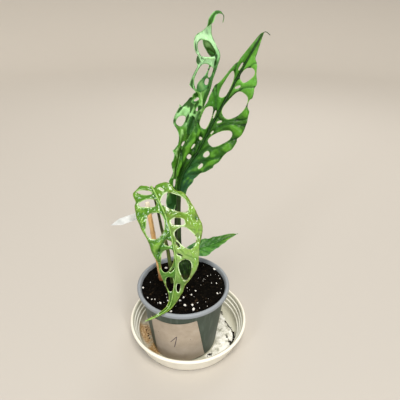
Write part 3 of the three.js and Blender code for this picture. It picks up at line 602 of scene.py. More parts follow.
def soil_points(count, seed, most, sunk):
    """Points spread evenly over a circle of the soil's surface, most in radius, and sunk a little."""
    draw = np.random.default_rng(seed)
    points = []
    while len(points) < count:
        x, y = draw.uniform(-most, most, 2)
        if math.hypot(x, y) < most:
            points.append((POT_MIDDLE[0] + x, POT_MIDDLE[1] + y, soil_height(x, y) - sunk))
    return points


# Bark and peat crumbs: dark brown, matt.
bark, tree, shader, coords = new_material("composted bark")
shades = add_node(tree, "TexNoise", [coords, grain(3.85), 3])
brown = add_node(tree, "ValToRGB", [shades], stops=[(0.38, "#050403"), (0.56, "#110d07"), (0.68, "#372a1b")])
fill(tree, shader, {"Base Color": brown, "Roughness": 0.8, "Specular IOR Level": 0.06})
scattered(
    "soil_crumbs", soil_points(1100, 5, 52.0, 0.2), bark, size=1.0, spread=0.55, flatness=0.62, seed=3)
scattered(
    "bark_chips", soil_points(90, 11, 50.0, 0.1), bark, size=2.6, spread=0.4, flatness=0.35, seed=9)

# Expanded perlite: chalk white, light, with a broken matt surface. Its pores are drawn coarse, to show.
perlite, tree, shader, coords = new_material("expanded perlite")
pores = add_node(tree, "TexNoise", [coords, grain(1.111), 3])
white = add_node(tree, "Mix", [pores, "#d8d2c4", "#f7f5ee"])
relief = add_node(tree, "Bump", {"Height": pores, "Strength": 0.6, "Distance": 0.0004})
fill(tree, shader, {"Base Color": white, "Roughness": 0.9, "Normal": relief})
PERLITE_LARGE = [
    (-52.0, -8.0), (-44.0, -24.5), (-27.0, -35.0), (-18.0, -29.5), (1.0, -23.0), (11.0, -19.0),
    (16.0, -12.5), (-3.0, -29.0), (12.5, -37.0), (-13.0, -49.0), (44.0, -16.5),
]
PERLITE_BIGGEST = [(3.5, -37.5), (14.0, -44.5), (41.5, 32.0), (-25.5, 33.0)]
PERLITE_SMALL = [
    (-38.5, -27.5), (-34.5, -27.5), (-20.0, -24.5), (-21.0, -18.5), (-44.0, 3.5), (5.0, -6.0),
    (19.0, -33.0), (37.0, 4.0), (43.5, 3.5), (47.5, -15.0), (48.5, 14.0), (32.0, 17.5),
]


def over_soil(places, lift):
    """Points over the soil at places measured from the pot's middle."""
    return [(POT_MIDDLE[0] + x, POT_MIDDLE[1] + y, soil_height(x, y) + lift) for x, y in places]


for name, points, size, spread, flatness, seed in [
    ("perlite_large", over_soil(PERLITE_LARGE, 0.5), 1.5, 0.25, 0.75, 4),
    ("perlite_biggest", over_soil(PERLITE_BIGGEST, 0.6), 2.1, 0.15, 0.7, 5),
    ("perlite_small", over_soil(PERLITE_SMALL, 0.3), 0.95, 0.3, 0.75, 6),
    ("perlite_fine", soil_points(38, 21, 51.0, -0.15), 0.42, 0.45, 0.8, 8),
]:
    scattered(name, points, perlite, size, spread, flatness, seed)

# Hard water has dried to a chalky crust on the saucer's floor at the right and in front of the pot. It is
# thin and brittle, with an uneven raised edge.
CRUST_EDGE = [
    (49.0, 32.1), (53.0, 21.0), (55.4, 9.9), (60.5, 1.5), (63.3, -5.3), (64.2, -14.5), (63.4, -23.4),
    (58.7, -32.2), (52.0, -41.0), (45.0, -47.5), (37.0, -52.5), (29.0, -56.0),
]
CRUST_START = 45.5
CRUST_ROWS = 22
FLOOR_TOP = 2.25
FLOOR_EDGE = 63.8


def spline(points, count):
    """A smooth curve through points, as count points evenly spaced along it, with its length."""
    p = [np.asarray(q, float) for q in points]
    p = [2 * p[0] - p[1], *p, 2 * p[-1] - p[-2]]
    fine = []
    for i in range(1, len(p) - 2):
        for t in np.linspace(0, 1, 40, endpoint=False):
            lean_in, lean_out = (p[i + 1] - p[i - 1]) * 0.5, (p[i + 2] - p[i]) * 0.5
            fine.append(
                (2 * p[i] - 2 * p[i + 1] + lean_in + lean_out) * t**3
                + (-3 * p[i] + 3 * p[i + 1] - 2 * lean_in - lean_out) * t**2 + lean_in * t + p[i])
    fine = np.array([*fine, p[-2]])
    walked = np.concatenate([[0], np.cumsum(np.linalg.norm(np.diff(fine, axis=0), axis=1))])
    at = np.linspace(0, walked[-1], count)
    return np.stack([np.interp(at, walked, fine[:, k]) for k in range(fine.shape[1])], -1), walked[-1]


crust_edge, _ = spline(CRUST_EDGE, 70)
crust_top = []
crust_foot = []
for i in range(CRUST_ROWS):
    share = i / (CRUST_ROWS - 1)
    for j, (x, y) in enumerate(crust_edge):
        angle = math.atan2(y - POT_MIDDLE[1], x - POT_MIDDLE[0])
        wavy = 0.9 * math.sin(j * 0.9) + 0.6 * math.sin(j * 2.3 + 1)
        reach = math.hypot(x - POT_MIDDLE[0], y - POT_MIDDLE[1]) + wavy * share
        reach = CRUST_START + (reach - CRUST_START) * share
        px, py = POT_MIDDLE[0] + reach * math.cos(angle), POT_MIDDLE[1] + reach * math.sin(angle)
        ground = FLOOR_TOP + max(0.0, math.hypot(px, py) - FLOOR_EDGE) * 0.24
        lump = 0.2 * math.sin(px * 0.7 + py * 0.3) * math.sin(py * 0.6 - px * 0.2)
        ridge = 0.6 * math.exp(-(((share - 0.93) / 0.05) ** 2))
        end = min(1.0, j / 3, (len(crust_edge) - 1 - j) / 3)
        rise = (0.3 + lump + ridge) * end * min(1.0, (1.0 - share) * 12 + 0.15)
        crust_top.append((px, py, ground + 0.08 + rise))
        crust_foot.append((px, py, ground))

# Dried lime: chalk white, matt, gritty, with brown specks washed into it.
lime, tree, shader, coords = new_material("dried lime crust")
cloud = add_node(tree, "TexNoise", [coords, grain(9.1), 5, 0.65])
grit = add_node(tree, "TexNoise", [coords, grain(1.923), 4])
chalk = add_node(tree, "ValToRGB", [cloud], stops=[(0.36, "#a9a898"), (0.47, "#dedccf"), (0.6, "#fbfaf2")])
dirt = add_node(tree, "MapRange", [grit, 0.62, 0.7, 0.0, 0.6])
dirtied = add_node(tree, "Mix", [dirt, chalk, "#6b5a40"])
relief = add_node(tree, "Bump", {"Height": cloud, "Strength": 0.9, "Distance": 0.002})
fill(tree, shader, {"Base Color": dirtied, "Roughness": 0.92, "Normal": relief})
crust = make_mesh(
    "mineral_crust", *sheet_between(crust_foot, crust_top, CRUST_ROWS, len(crust_edge)), [lime], sharp=60)
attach(crust, "root")

# Some soil has washed into the saucer: a broken line of crumbs along the edge of the chalky crust on the
# right, and a few crumbs in front.
DIRT_LINES = [
    ([(49, 33), (51, 27)], 12, 0.7),
    ([(54, 15), (58, 6), (62, -1), (65, -10)], 42, 0.5),
    ([(65, -10), (65, -17), (63, -26), (59, -32)], 50, 0.7),
    ([(54, -12), (56, -17), (58, -22), (60, -27)], 34, 0.5),
    ([(27, -47), (32, -46)], 24, 0.9),
    ([(-58, 20), (-60, 6), (-62, -8), (-55, -24)], 10, 1.4),
]
WALL_START = 67.2
dirt_draw = np.random.default_rng(31)
dirt_points = []
for line, count, width in DIRT_LINES:
    for _ in range(count):
        at = dirt_draw.uniform(0, len(line) - 1.001)
        k = int(at)
        x, y = [a + (b - a) * (at - k) + dirt_draw.normal(0, width) for a, b in zip(line[k], line[k + 1])]
        reach = math.hypot(x, y)
        rise = 2.4 + max(0.0, reach - FLOOR_EDGE) * 0.9 + max(0.0, reach - WALL_START) * 1.4
        dirt_points.append((x, y, min(rise, 11.0)))
scattered("washed_crumbs", dirt_points, bark, size=1.0, spread=0.5, flatness=0.6, seed=12)

# The stake is a 6 mm length of split bamboo, orange brown with paler fibres, sawn off at the top and slit
# there to hold the tag.
STAKE_FOOT = np.array((-29.6, -5.6, 44.0))
STAKE_TOP = np.array((-49.1, 4.0, 208.6))
TAG_SEAT = np.array((-47.6, 3.45, 196.0))
TAG_TIP = np.array((-93.7, -6.0, 182.0))


def swept(path, radii, around, relief, squash=1.0):
    """A closed tube along points. relief(share, angle) swells it, and squash flattens it across."""
    path = np.asarray(path, float)
    count = len(path)
    ahead = np.gradient(path, axis=0)
    ahead /= np.linalg.norm(ahead, axis=1)[:, None]
    side = np.array((1.0, 0.0, 0.0))
    vertices = []
    for i in range(count):
        side = unit(side - ahead[i] * np.dot(side, ahead[i]))
        other = np.cross(ahead[i], side)
        for j in range(around):
            angle = 2 * math.pi * j / around
            reach = radii[i] + relief(i / (count - 1), angle)
            vertices.append(path[i] + reach * (math.cos(angle) * side + squash * math.sin(angle) * other))
    faces = []
    for i in range(count - 1):
        for j in range(around):
            a, b = i * around + j, i * around + (j + 1) % around
            faces.append((a, b, b + around, a + around))
    first_end, last_end = len(vertices), len(vertices) + 1
    vertices += [path[0], path[-1]]
    for j in range(around):
        k = (j + 1) % around
        faces.append((first_end, k, j))
        faces.append((last_end, (count - 1) * around + j, (count - 1) * around + k))
    return vertices, faces


STAKE_POINTS = 140
STAKE_KNOTS = (0.34, 0.74)
stake_path, _ = spline([STAKE_FOOT, (STAKE_FOOT + STAKE_TOP) / 2, STAKE_TOP], STAKE_POINTS)
stake_radii = []
for u in np.linspace(0, 1, STAKE_POINTS):
    knot = sum(0.35 * math.exp(-(((u - k) / 0.010) ** 2)) for k in STAKE_KNOTS)
    stake_radii.append(3.1 - 0.18 * u + knot - (0.5 * max(0.0, u - 0.99) / 0.01))
tag_along = unit(TAG_TIP - TAG_SEAT)
tag_across = unit(np.cross(unit(STAKE_TOP - STAKE_FOOT), tag_along))
tag_up = np.cross(tag_along, tag_across)

# Split bamboo: hard, satin, orange brown with fine dark fibres that run along it.
bamboo, tree, shader, coords = new_material("split bamboo")
place = add_node(tree, "SeparateXYZ", [coords])
along = add_node(tree, "Mapping", {
    "Vector": coords, "Rotation": (0.06, -0.118, 0.0), "Scale": (1.0, 1.0, 0.03)})
fibres = add_node(tree, "TexNoise", [along, grain(0.6667), 3, 0.6])
weather = add_node(tree, "TexNoise", [coords, grain(22.2), 4])
wood = add_node(tree, "ValToRGB", [fibres], stops=[(0.3, "#ce9854"), (0.5, "#fad08a"), (0.7, "#ffe0b0")])
worn = add_node(tree, "ValToRGB", [weather], stops=[(0.35, "#b08a6a"), (0.65, "#fff4e4")])
aged = add_node(tree, "Mix", [0.5, wood, worn], blend_type="MULTIPLY")
sawn = add_node(tree, "MapRange", [place.outputs["Z"], 0.196, 0.203], **SMOOTH)
topped = add_node(tree, "Mix", [sawn, aged, "#f2e6cc"])
damp = add_node(tree, "MapRange", [place.outputs["Z"], 0.118, 0.092], **SMOOTH)
darkened = add_node(tree, "Mix", [damp, topped, "#9a5c35"])
relief = add_node(tree, "Bump", {"Height": fibres, "Strength": 0.35, "Distance": 0.0003})
fill(tree, shader, {"Base Color": darkened, "Roughness": 0.5, "Normal": relief})

stake_vertices, stake_faces = swept(
    stake_path, stake_radii, 28,
    lambda u, angle: 0.05 * math.sin(9 * angle) + 0.04 * math.sin(31 * u + 3 * angle))
stake = make_mesh("bamboo_stake", stake_vertices, stake_faces, [bamboo], sharp=50)
slit_corners = [
    TAG_SEAT + length * tag_along + width * tag_across + height * tag_up
    for length in (-6.5, 6.5) for width in (-0.65, 0.65) for height in (-10.0, 18.0)
]
slit_faces = [(0, 1, 3, 2), (4, 6, 7, 5), (0, 4, 5, 1), (2, 3, 7, 6), (0, 2, 6, 4), (1, 5, 7, 3)]
cut_away(stake, make_mesh("slit", slit_corners, slit_faces, [bamboo]))
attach(stake, "root")
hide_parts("stake")

# The tag is a blank strip of white polystyrene with a pointed end, pushed edgewise into the stake's slit.
# Its edges are slightly rounded, and it bows a little.
TAG_LENGTH = 49.3
TAG_IN_SLIT = 6.0
TAG_HALF_WIDTH = 4.5
TAG_HALF_THICKNESS = 0.35
TAG_POINT = 13.0
TAG_ROWS = 9
TAG_COLUMNS = 40
tag_front = []
tag_back = []
for i in range(TAG_ROWS):
    for j in range(TAG_COLUMNS):
        x = -TAG_IN_SLIT + (TAG_LENGTH + TAG_IN_SLIT) * j / (TAG_COLUMNS - 1)
        y = (2 * i / (TAG_ROWS - 1) - 1) * TAG_HALF_WIDTH * min(1.0, (TAG_LENGTH + 0.4 - x) / TAG_POINT)
        free = max(0.0, x) / TAG_LENGTH
        bow = 0.5 * math.sin(free * 2.6) - 0.4 * (y / TAG_HALF_WIDTH) ** 2 * free
        point = TAG_SEAT + x * tag_along + y * tag_up + bow * tag_across
        tag_front.append(point + TAG_HALF_THICKNESS * tag_across)
        tag_back.append(point - TAG_HALF_THICKNESS * tag_across)

# Polystyrene sheet: white, smooth, with a faint cloudy grey film of dirt.
polystyrene, tree, shader, coords = new_material("polystyrene, white")
smear = add_node(tree, "TexNoise", [coords, grain(11.1), 5])
tag_white = add_node(tree, "ValToRGB", [smear], stops=[(0.4, "#e0e2e0"), (0.72, "#b4b8b4")])
fill(tree, shader, {"Base Color": tag_white, "Roughness": 0.35, "IOR": 1.59})

tag = make_mesh("tag_strip", *sheet_between(tag_back, tag_front, TAG_ROWS, TAG_COLUMNS), [polystyrene])
softened = tag.modifiers.new("soft edges", "BEVEL")
softened.width = 0.0002
softened.segments = 2
softened.limit_method = "ANGLE"
softened.angle_limit = math.radians(50)
settle(tag)
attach(tag, "root")
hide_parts("plant_tag")

# The stem is short and thick, ringed by old leaf scars and ribbed by the dried sheaths of the petioles
# that stand in its top. It is dark green, browner near the soil.
STEM_PATH = [(-2.5, -5, 84), (-4, -3.5, 90), (-5, 0.5, 106), (-5.5, 3.5, 119), (-5.6, 4.0, 122.5)]
STEM_SCARS = (97, 104, 111)
STEM_SHOULDER = 119.5
STEM_SQUASH = 0.78
stem_path, _ = spline(STEM_PATH, 60)
stem_radii = []
for z in stem_path[:, 2]:
    scars = sum(0.35 * math.exp(-(((z - scar) / 0.9) ** 2)) for scar in STEM_SCARS)
    round_off = max(0.0, z - STEM_SHOULDER)
    stem_radii.append(7.2 + 1.9 * min(1.0, max(0.0, z - 90) / 20) + scars - 0.55 * round_off**1.3)
stem_vertices, stem_faces = swept(
    stem_path, stem_radii, 72,
    lambda u, angle: 0.5 * math.cos(7 * angle + 2 * u) + 0.22 * math.sin(19 * angle + 5 * u), STEM_SQUASH)

# Living stem skin: waxy dark green with pale streaks along it, brown and corky low down.
stem_skin, tree, shader, coords = new_material("stem skin")
place = add_node(tree, "SeparateXYZ", [coords])
along = add_node(tree, "Mapping", {"Vector": coords, "Scale": (1.0, 1.0, 0.1)})
streaks = add_node(tree, "TexNoise", [along, grain(1.923), 4])
mottle = add_node(tree, "TexNoise", [coords, grain(4.76), 4])
green = add_node(tree, "ValToRGB", [streaks], stops=[
    (0.35, "#0e1a08"), (0.55, "#1c340e"), (0.72, "#3e5e26")])
cork = add_node(tree, "MapRange", [place.outputs["Z"], 0.108, 0.093])
cork_patches = add_node(tree, "MapRange", [mottle, 0.35, 0.6])
corky = add_node(tree, "Math", [cork, cork_patches], operation="MULTIPLY", use_clamp=True)
stem_colour = add_node(tree, "Mix", [corky, green, "#4a3620"])
relief = add_node(tree, "Bump", {"Height": streaks, "Strength": 0.4, "Distance": 0.0006})
fill(tree, shader, {
    "Base Color": stem_colour, "Roughness": 0.5, "Specular IOR Level": 0.15, "Normal": relief})

stem = make_mesh("stem_body", stem_vertices, stem_faces, [stem_skin], sharp=180)
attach(stem, "root")
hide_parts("stem")

# Each petiole rises through a papery sheath, an open sleeve that wraps its back and runs out to a point.
# A sheath is given by its middle at the foot and at the top, its radius, its top and where it opens.
SHEATHS = [
    ((-4.6, 2.2), (-6.6, 2.6), 4.2, 134, 200),
    ((-11.4, 6.5), (-13.4, 8.3), 3.8, 131, 150),
    ((0.6, 6.8), (0.0, 7.4), 3.2, 127, 320),
]
SHEATH_FOOT = 113
SHEATH_ROWS = 22
SHEATH_COLUMNS = 20
sheath_parts = []
for (x0, y0), (x1, y1), radius, top, opening in SHEATHS:
    outer = []
    inner_wall = []
    for i in range(SHEATH_ROWS):
        share = i / (SHEATH_ROWS - 1)
        z = SHEATH_FOOT + (top - SHEATH_FOOT) * share
        wrap = math.radians(150) * (1 - share) ** 0.55 + 0.12
        reach = radius * (1 - 0.35 * share)
        x, y = x0 + (x1 - x0) * share, y0 + (y1 - y0) * share
        for j in range(SHEATH_COLUMNS):
            angle = math.radians(opening + 180) + wrap * (2 * j / (SHEATH_COLUMNS - 1) - 1)
            for wall, size in ((outer, reach + 0.3), (inner_wall, reach)):
                wall.append((x + size * math.cos(angle), y + size * math.sin(angle), z))
    sheath_parts.append(sheet_between(outer, inner_wall, SHEATH_ROWS, SHEATH_COLUMNS))
sheaths = make_mesh("petiole_sheaths", *joined(sheath_parts), [stem_skin], sharp=60)
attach(sheaths, "root")

# The front leaf hangs from a slender petiole that rises on the left and arches forward. Its blade is light
# yellow-green, thin and glossy, with large holes between the side veins and puffed straps between them.
FRONT = {
    "petiole": [(-15, -6.5, 80), (-19.7, -8.5, 94), (-21.7, -9.5, 116.5), (-25.6, -11, 155),
        (-30.8, -12, 179.5), (-34, -13, 203), (-37.8, -15, 227)],
    "rib": [(-40, -18, 241), (-33, -27, 233), (-20.5, -42, 209), (-12.8, -53, 174), (-11.6, -57, 152),
        (-14.6, -59, 127), (-20, -64, 106), (-30.5, -75, 103.5), (-47, -80, 98)],
    "thick": (3.2, 1.1, 0.4),
    "facing": [(0, 0, -0.9, 0.45), (1, 0, -0.9, 0.45)],
    "fold": [(0, 6, 6), (0.5, 8, 8), (1, 3, 3)],
    "curl": [(0, -0.4, -0.4), (0.5, -0.6, -0.5), (1, 0, 0)],
    "right": [(0, 1.4), (-3, 3), (-5.5, 6.5), (-8, 10), (-7, 14), (-6, 17.5), (-5, 21.2), (-2, 23), (3, 24),
        (9, 26), (16, 28.3), (23, 30.5), (33, 31), (42, 30.6), (53, 29), (61, 27), (68, 26), (77, 25.3),
        (85, 22.4), (93, 20.3), (104, 19.2), (112, 17.3), (119, 14.4), (127, 10.4), (133, 6.8), (140, 4.4),
        (148, 3.2), (160, 2.8), (170, 2.2), (180, 1.3), (188, 0)],
    "left": [(0, 1.4), (3, 2), (2, 5), (2.5, 9), (4, 13), (6, 17), (9.5, 20), (14, 20.8), (18, 23),
        (20.5, 27), (25, 29.5), (30, 31.3), (35, 32), (43, 33.8), (49, 35), (55, 36.4), (61, 36.2),
        (66, 34.4), (70, 32.6), (77, 29), (84, 27.8), (90, 26.2), (96, 25.5), (102, 23.2), (109, 18.9),
        (115, 15.2), (120, 12.6), (125, 11.6), (130, 11), (136, 9), (144, 6.5), (152, 3.8), (160, 2.2),
        (170, 1.6), (180, 1.1), (188, 0)],
    "holes_right": [(2, 9.6, 17, 4.8, 127, 0), (16, 13, 20.5, 9, 113, -0.15),
        (44.5, 14.9, 32.5, 20.8, 19, 0), (68.5, 5, 8, 6.4, 130, 0), (91, 9.8, 31, 13.6, 13, -0.25),
        (103.5, 4.6, 7.5, 2, 40, 0), (123.5, 5.4, 21.5, 8.6, -12, -0.35)],
    "holes_left": [(9, 8, 5.5, 1.8, 35, 0), (27.8, 15.1, 30.6, 16.4, 47, -0.1),
        (47.3, 10.9, 15.6, 7.4, 74, 0), (65.8, 15.2, 26.3, 18, 36, 0.05), (72.5, 5.7, 8, 2, 27, 0),
        (84.5, 5.4, 6.5, 2.2, 62, 0), (102, 10.6, 23.5, 13.6, 4, -0.3), (126.5, 4.7, 12, 4.4, 4, 0)],
    "veins_right": [[(4, 0), (7, 10), (4, 22)], [(14, 0), (25, 13), (30, 30)],
        [(50, 0), (61, 12), (66, 25)], [(74, 0), (74, 8), (79, 24)], [(96, 0), (108, 9), (113, 18)],
        [(112, 0), (117, 5), (121, 14)]],
    "veins_left": [[(4, 0), (11, 11), (12, 19)], [(24, 0), (39, 12), (50, 34)],
        [(38, 0), (53, 12), (62, 35)], [(60, 0), (82, 10), (90, 24)], [(76, 0), (88, 8), (95, 23)],
        [(100, 0), (114, 7), (119, 10)], [(128, 0), (135, 4), (139, 6)]],
    "puff": 2.2,
    "ruffle": (0.6, 17.0),
    "valley": (0.5, 2.6),
    "crumple": (0.45, 0.0, 1.0, 13, 13),
    "groove": 0.0,
    "pleats": [
        (1, [(60, 3), (66, 9), (72, 15), (82, 19), (90, 19)], 1.3, -1.9),
        (1, [(62, 12), (70, 20), (80, 22.5)], 1.6, 0.9),
        (1, [(30, 4), (26, 14), (28, 24), (38, 28)], 1.2, 0.9),
        (1, [(33, 6), (29, 16), (33, 25)], 1.1, -1.2),
        (-1, [(40, 6), (39, 16), (45, 25), (54, 29.5), (62, 30)], 1.0, 1.1),
        (-1, [(43, 20), (49, 26), (58, 27)], 0.9, 0.8),
        (-1, [(46, 31.5), (56, 33), (64, 31)], 1.0, -0.5),
        (-1, [(36, 6), (35.5, 18), (38, 29)], 1.0, -1.0),
        (-1, [(68, 1.5), (76, 8), (84, 12), (88, 20)], 0.9, 0.9),
        (-1, [(84, 20), (92, 22), (102, 20)], 1.0, 0.9),
    ],
    "depth": 4.2,
}
# How finely a leaf is drawn: points along its lines, millimetres between points on its rims and inside
# them, and half the thickness of its blade.
RIB_POINTS = 600
MARGIN_POINTS = 420
HOLE_POINTS = 90
VEIN_POINTS = 60
OUTLINE_STEP = 1.1
HOLE_STEP = 1.0
GRID_STEP = 1.25
GRID_ROW = GRID_STEP * 0.866
GRID_MARGIN = 0.55
HALF_THICKNESS = 0.24
STALK_POINTS = 260
STALK_AROUND = 14


def eased(keys, share, column):
    """Values between keys of (share, ...), eased from one key to the next."""
    marks = np.array([key[0] for key in keys], float)
    values = np.array([key[column] for key in keys], float)
    share = np.clip(share, marks[0], marks[-1])
    i = np.clip(np.searchsorted(marks, share, side="right") - 1, 0, len(marks) - 2)
    t = (share - marks[i]) / (marks[i + 1] - marks[i])
    return values[i] + (values[i + 1] - values[i]) * t * t * (3 - 2 * t)


def leaf_surface(leaf, flat):
    """Where a leaf's flat points (along the rib, out from it to the right) lie, and its upper normals."""
    rib, length = spline(leaf["rib"], RIB_POINTS)
    a = flat[:, 0]
    side = np.where(flat[:, 1] >= 0, 1.0, -1.0)
    b = np.abs(flat[:, 1])
    at = np.clip(a, 0, length)
    walked = np.linspace(0, length, RIB_POINTS)
    place, before, after = [
        np.stack([np.interp(np.clip(at + step, 0, length), walked, rib[:, k]) for k in range(3)], -1)
        for step in (0, -1, 1)
    ]
    ahead = after - before
    ahead /= np.linalg.norm(ahead, axis=1)[:, None]
    place += ahead * (a - at)[:, None]
    facing = np.stack([eased(leaf["facing"], a / length, k) for k in (1, 2, 3)], -1)
    out = np.cross(ahead, facing)
    out /= np.linalg.norm(out, axis=1)[:, None]
    up = np.cross(out, ahead)
    fold, curl = [
        np.where(side > 0, eased(leaf[bend], a / length, 2), eased(leaf[bend], a / length, 1))
        for bend in ("fold", "curl")
    ]
    fold = np.radians(fold)
    curl = np.where(np.abs(curl) < 1e-6, 1e-6, np.radians(curl))
    turned_by = fold + curl * b
    place += out * (side * (np.sin(turned_by) - np.sin(fold)) / curl)[:, None]
    place += up * ((np.cos(fold) - np.cos(turned_by)) / curl)[:, None]
    blend = np.clip(b / 0.8, 0, 1)
    normal = up * np.cos(turned_by * blend)[:, None] - out * (side * np.sin(turned_by * blend))[:, None]
    return place, normal


def egg(row):
    """The outline of a hole from (along, out, length, width, turn, taper)."""
    along, out, length, width, turn, taper = row
    t = np.linspace(0, 2 * math.pi, HOLE_POINTS, endpoint=False)
    x = length / 2 * np.sign(np.cos(t)) * np.abs(np.cos(t)) ** 0.8
    y = width / 2 * np.sign(np.sin(t)) * np.abs(np.sin(t)) ** 0.8 * (1 + taper * np.cos(t))
    wobble = 1 + 0.03 * np.sin(3 * t + along) + 0.02 * np.sin(5 * t + out)
    c, s = math.cos(math.radians(turn)), math.sin(math.radians(turn))
    return np.stack([along + (x * c - y * s) * wobble, out + (x * s + y * c) * wobble], -1)


def even_loop(points, step):
    """The points of a closed loop, spaced evenly."""
    closed = np.vstack([points, points[:1]])
    walked = np.concatenate([[0], np.cumsum(np.linalg.norm(np.diff(closed, axis=0), axis=1))])
    at = np.linspace(0, walked[-1], max(8, int(walked[-1] / step)), endpoint=False)
    return np.stack([np.interp(at, walked, closed[:, k]) for k in (0, 1)], -1)


def inside(points, loop):
    """Which points lie inside a loop, by the even-odd rule."""
    result = np.zeros(len(points), bool)
    for (x0, y0), (x1, y1) in zip(loop, np.roll(loop, -1, axis=0)):
        crosses = (y0 > points[:, 1]) != (y1 > points[:, 1])
        where = (x1 - x0) * (points[:, 1] - y0) / (y1 - y0 + 1e-12) + x0
        result ^= crosses & (points[:, 0] < where)
    return result


def on_blade(points, outline, holes):
    """Which points lie inside a blade's outline and in none of its holes."""
    kept = inside(points, outline)
    for hole in holes:
        kept &= ~inside(points, hole)
    return kept


def renumbered(faces, count):
    """Which of so many vertices the faces use, and the faces numbered for those alone."""
    used = np.unique(faces)
    number = np.full(count, -1)
    number[used] = np.arange(len(used))
    return used, number[faces]


def swells(flat, along, across):
    """Uneven swells and dips over flat points, about so many millimetres along the rib and across it."""
    p, q = 2 * math.pi * flat[:, 0] / along, 2 * math.pi * flat[:, 1] / across
    return (
        np.sin(p + 1.6 * np.sin(0.63 * q)) * np.cos(0.8 * q + 0.9 * np.sin(0.71 * p))
        + 0.5 * np.sin(1.9 * p - 1.3 * q + 2.0) * np.cos(0.5 * p + 1.7 * q))


def flat_blade(leaf):
    """A blade laid flat, as points and triangles, with which points are on a rim, how far all are from the
    nearest rim, and which have the outer rim as their nearest."""
    right, left = [spline(leaf[side], MARGIN_POINTS)[0] for side in ("right", "left")]
    for margin in (right, left):
        margin[:, 1] = np.maximum(margin[:, 1], 0.0)
    outline = even_loop(np.vstack([right, (left * (1, -1))[::-1][1:]]), OUTLINE_STEP)
    holes = [
        even_loop(egg(row) * (1, half), HOLE_STEP)
        for key, half in (("holes_right", 1), ("holes_left", -1)) for row in leaf[key]
    ]
    border = np.vstack([outline, *holes])
    tree = kdtree.KDTree(len(border))
    for i, (x, y) in enumerate(border):
        tree.insert((x, y, 0), i)
    tree.balance()
    low, high = outline.min(0), outline.max(0)
    grid = []
    row = 0
    x = low[0]
    while x < high[0]:
        y = low[1] + (row % 2) * GRID_STEP / 2
        while y < high[1]:
            grid.append((x, y))
            y += GRID_STEP
        x += GRID_ROW
        row += 1
    grid = np.array(grid)
    grid = grid[on_blade(grid, outline, holes)]
    grid = np.array([p for p in grid if tree.find((p[0], p[1], 0))[2] > GRID_MARGIN])
    edges = []
    start = 0
    for loop in [outline, *holes]:
        edges += [(start + i, start + (i + 1) % len(loop)) for i in range(len(loop))]
        start += len(loop)
    flat, _, faces, _, _, _ = geometry.delaunay_2d_cdt(
        [Vector(p) for p in np.vstack([border, grid])], edges, [], 0, 1e-5)
    flat = np.array([tuple(p) for p in flat])
    faces = np.array([tuple(f) for f in faces])
    faces = faces[on_blade(flat[faces].mean(axis=1), outline, holes)]
    used, faces = renumbered(faces, len(flat))
    flat = flat[used]
    corners = flat[faces]
    first, second = corners[:, 1] - corners[:, 0], corners[:, 2] - corners[:, 0]
    clockwise = first[:, 0] * second[:, 1] - first[:, 1] * second[:, 0] < 0
    faces[clockwise] = faces[clockwise][:, ::-1]
    directed = {(f[i], f[(i + 1) % 3]) for f in faces for i in range(3)}
    rim = sorted({v for a, b in directed if (b, a) not in directed for v in (a, b)})
    on_rim = np.zeros(len(flat), bool)
    on_rim[rim] = True
    found = [tree.find((p[0], p[1], 0)) for p in flat]
    edge = np.array([hit[2] for hit in found])
    outer = np.array([1.0 if hit[1] < len(outline) else 0.0 for hit in found])
    edge[on_rim] = 0
    return flat, faces, on_rim, edge, outer


def nearness(flat, line, half):
    """How far flat points are from a line drawn on the right half of a blade, or mirrored on its left."""
    way = spline(line, VEIN_POINTS)[0] * (1, half)
    return np.min(np.hypot(flat[:, :1] - way[:, 0], flat[:, 1:] - way[:, 1]), axis=1)


def blade_height(leaf, flat, edge, vein, length):
    """How high a blade's puffed straps, ruffles, crumples, grooves and pleats raise its flat points."""
    rib = np.abs(flat[:, 1])
    tipward = flat[:, 0] / length
    size, period = leaf["ruffle"]
    side = np.where(flat[:, 1] >= 0, 0.0, 1.7)
    puffed = 1 - np.exp(-np.minimum(vein, rib) / 2.6)
    lowered = np.exp(-edge / 1.9)
    depth, width = leaf["valley"]
    height = leaf["puff"] * (0.55 * puffed - 0.6 * lowered) - depth * np.exp(-((rib / width) ** 2))
    height += size * np.clip(rib / 30, 0, 1) * np.sin(2 * math.pi * flat[:, 0] / period + side + rib * 0.11)
    size, start, end, long_wave, cross_wave = leaf["crumple"]
    crumpled = size * swells(flat, long_wave, cross_wave)
    crumpled += 0.12 * size * swells(flat + 50, 0.4 * long_wave, 0.4 * cross_wave)
    amount = np.clip((tipward - start) / 0.1, 0, 1) * np.clip((end - tipward) / 0.1, 0, 1)
    height += crumpled * amount * np.clip(rib / 6, 0, 1)
    height -= leaf["groove"] * np.exp(-((vein / 1.3) ** 2))
    for half, line, width, rise in leaf["pleats"]:
        height += rise * np.exp(-((nearness(flat, line, half) / width) ** 2))
    return height * np.clip((length - flat[:, 0]) / 40, 0.15, 1)


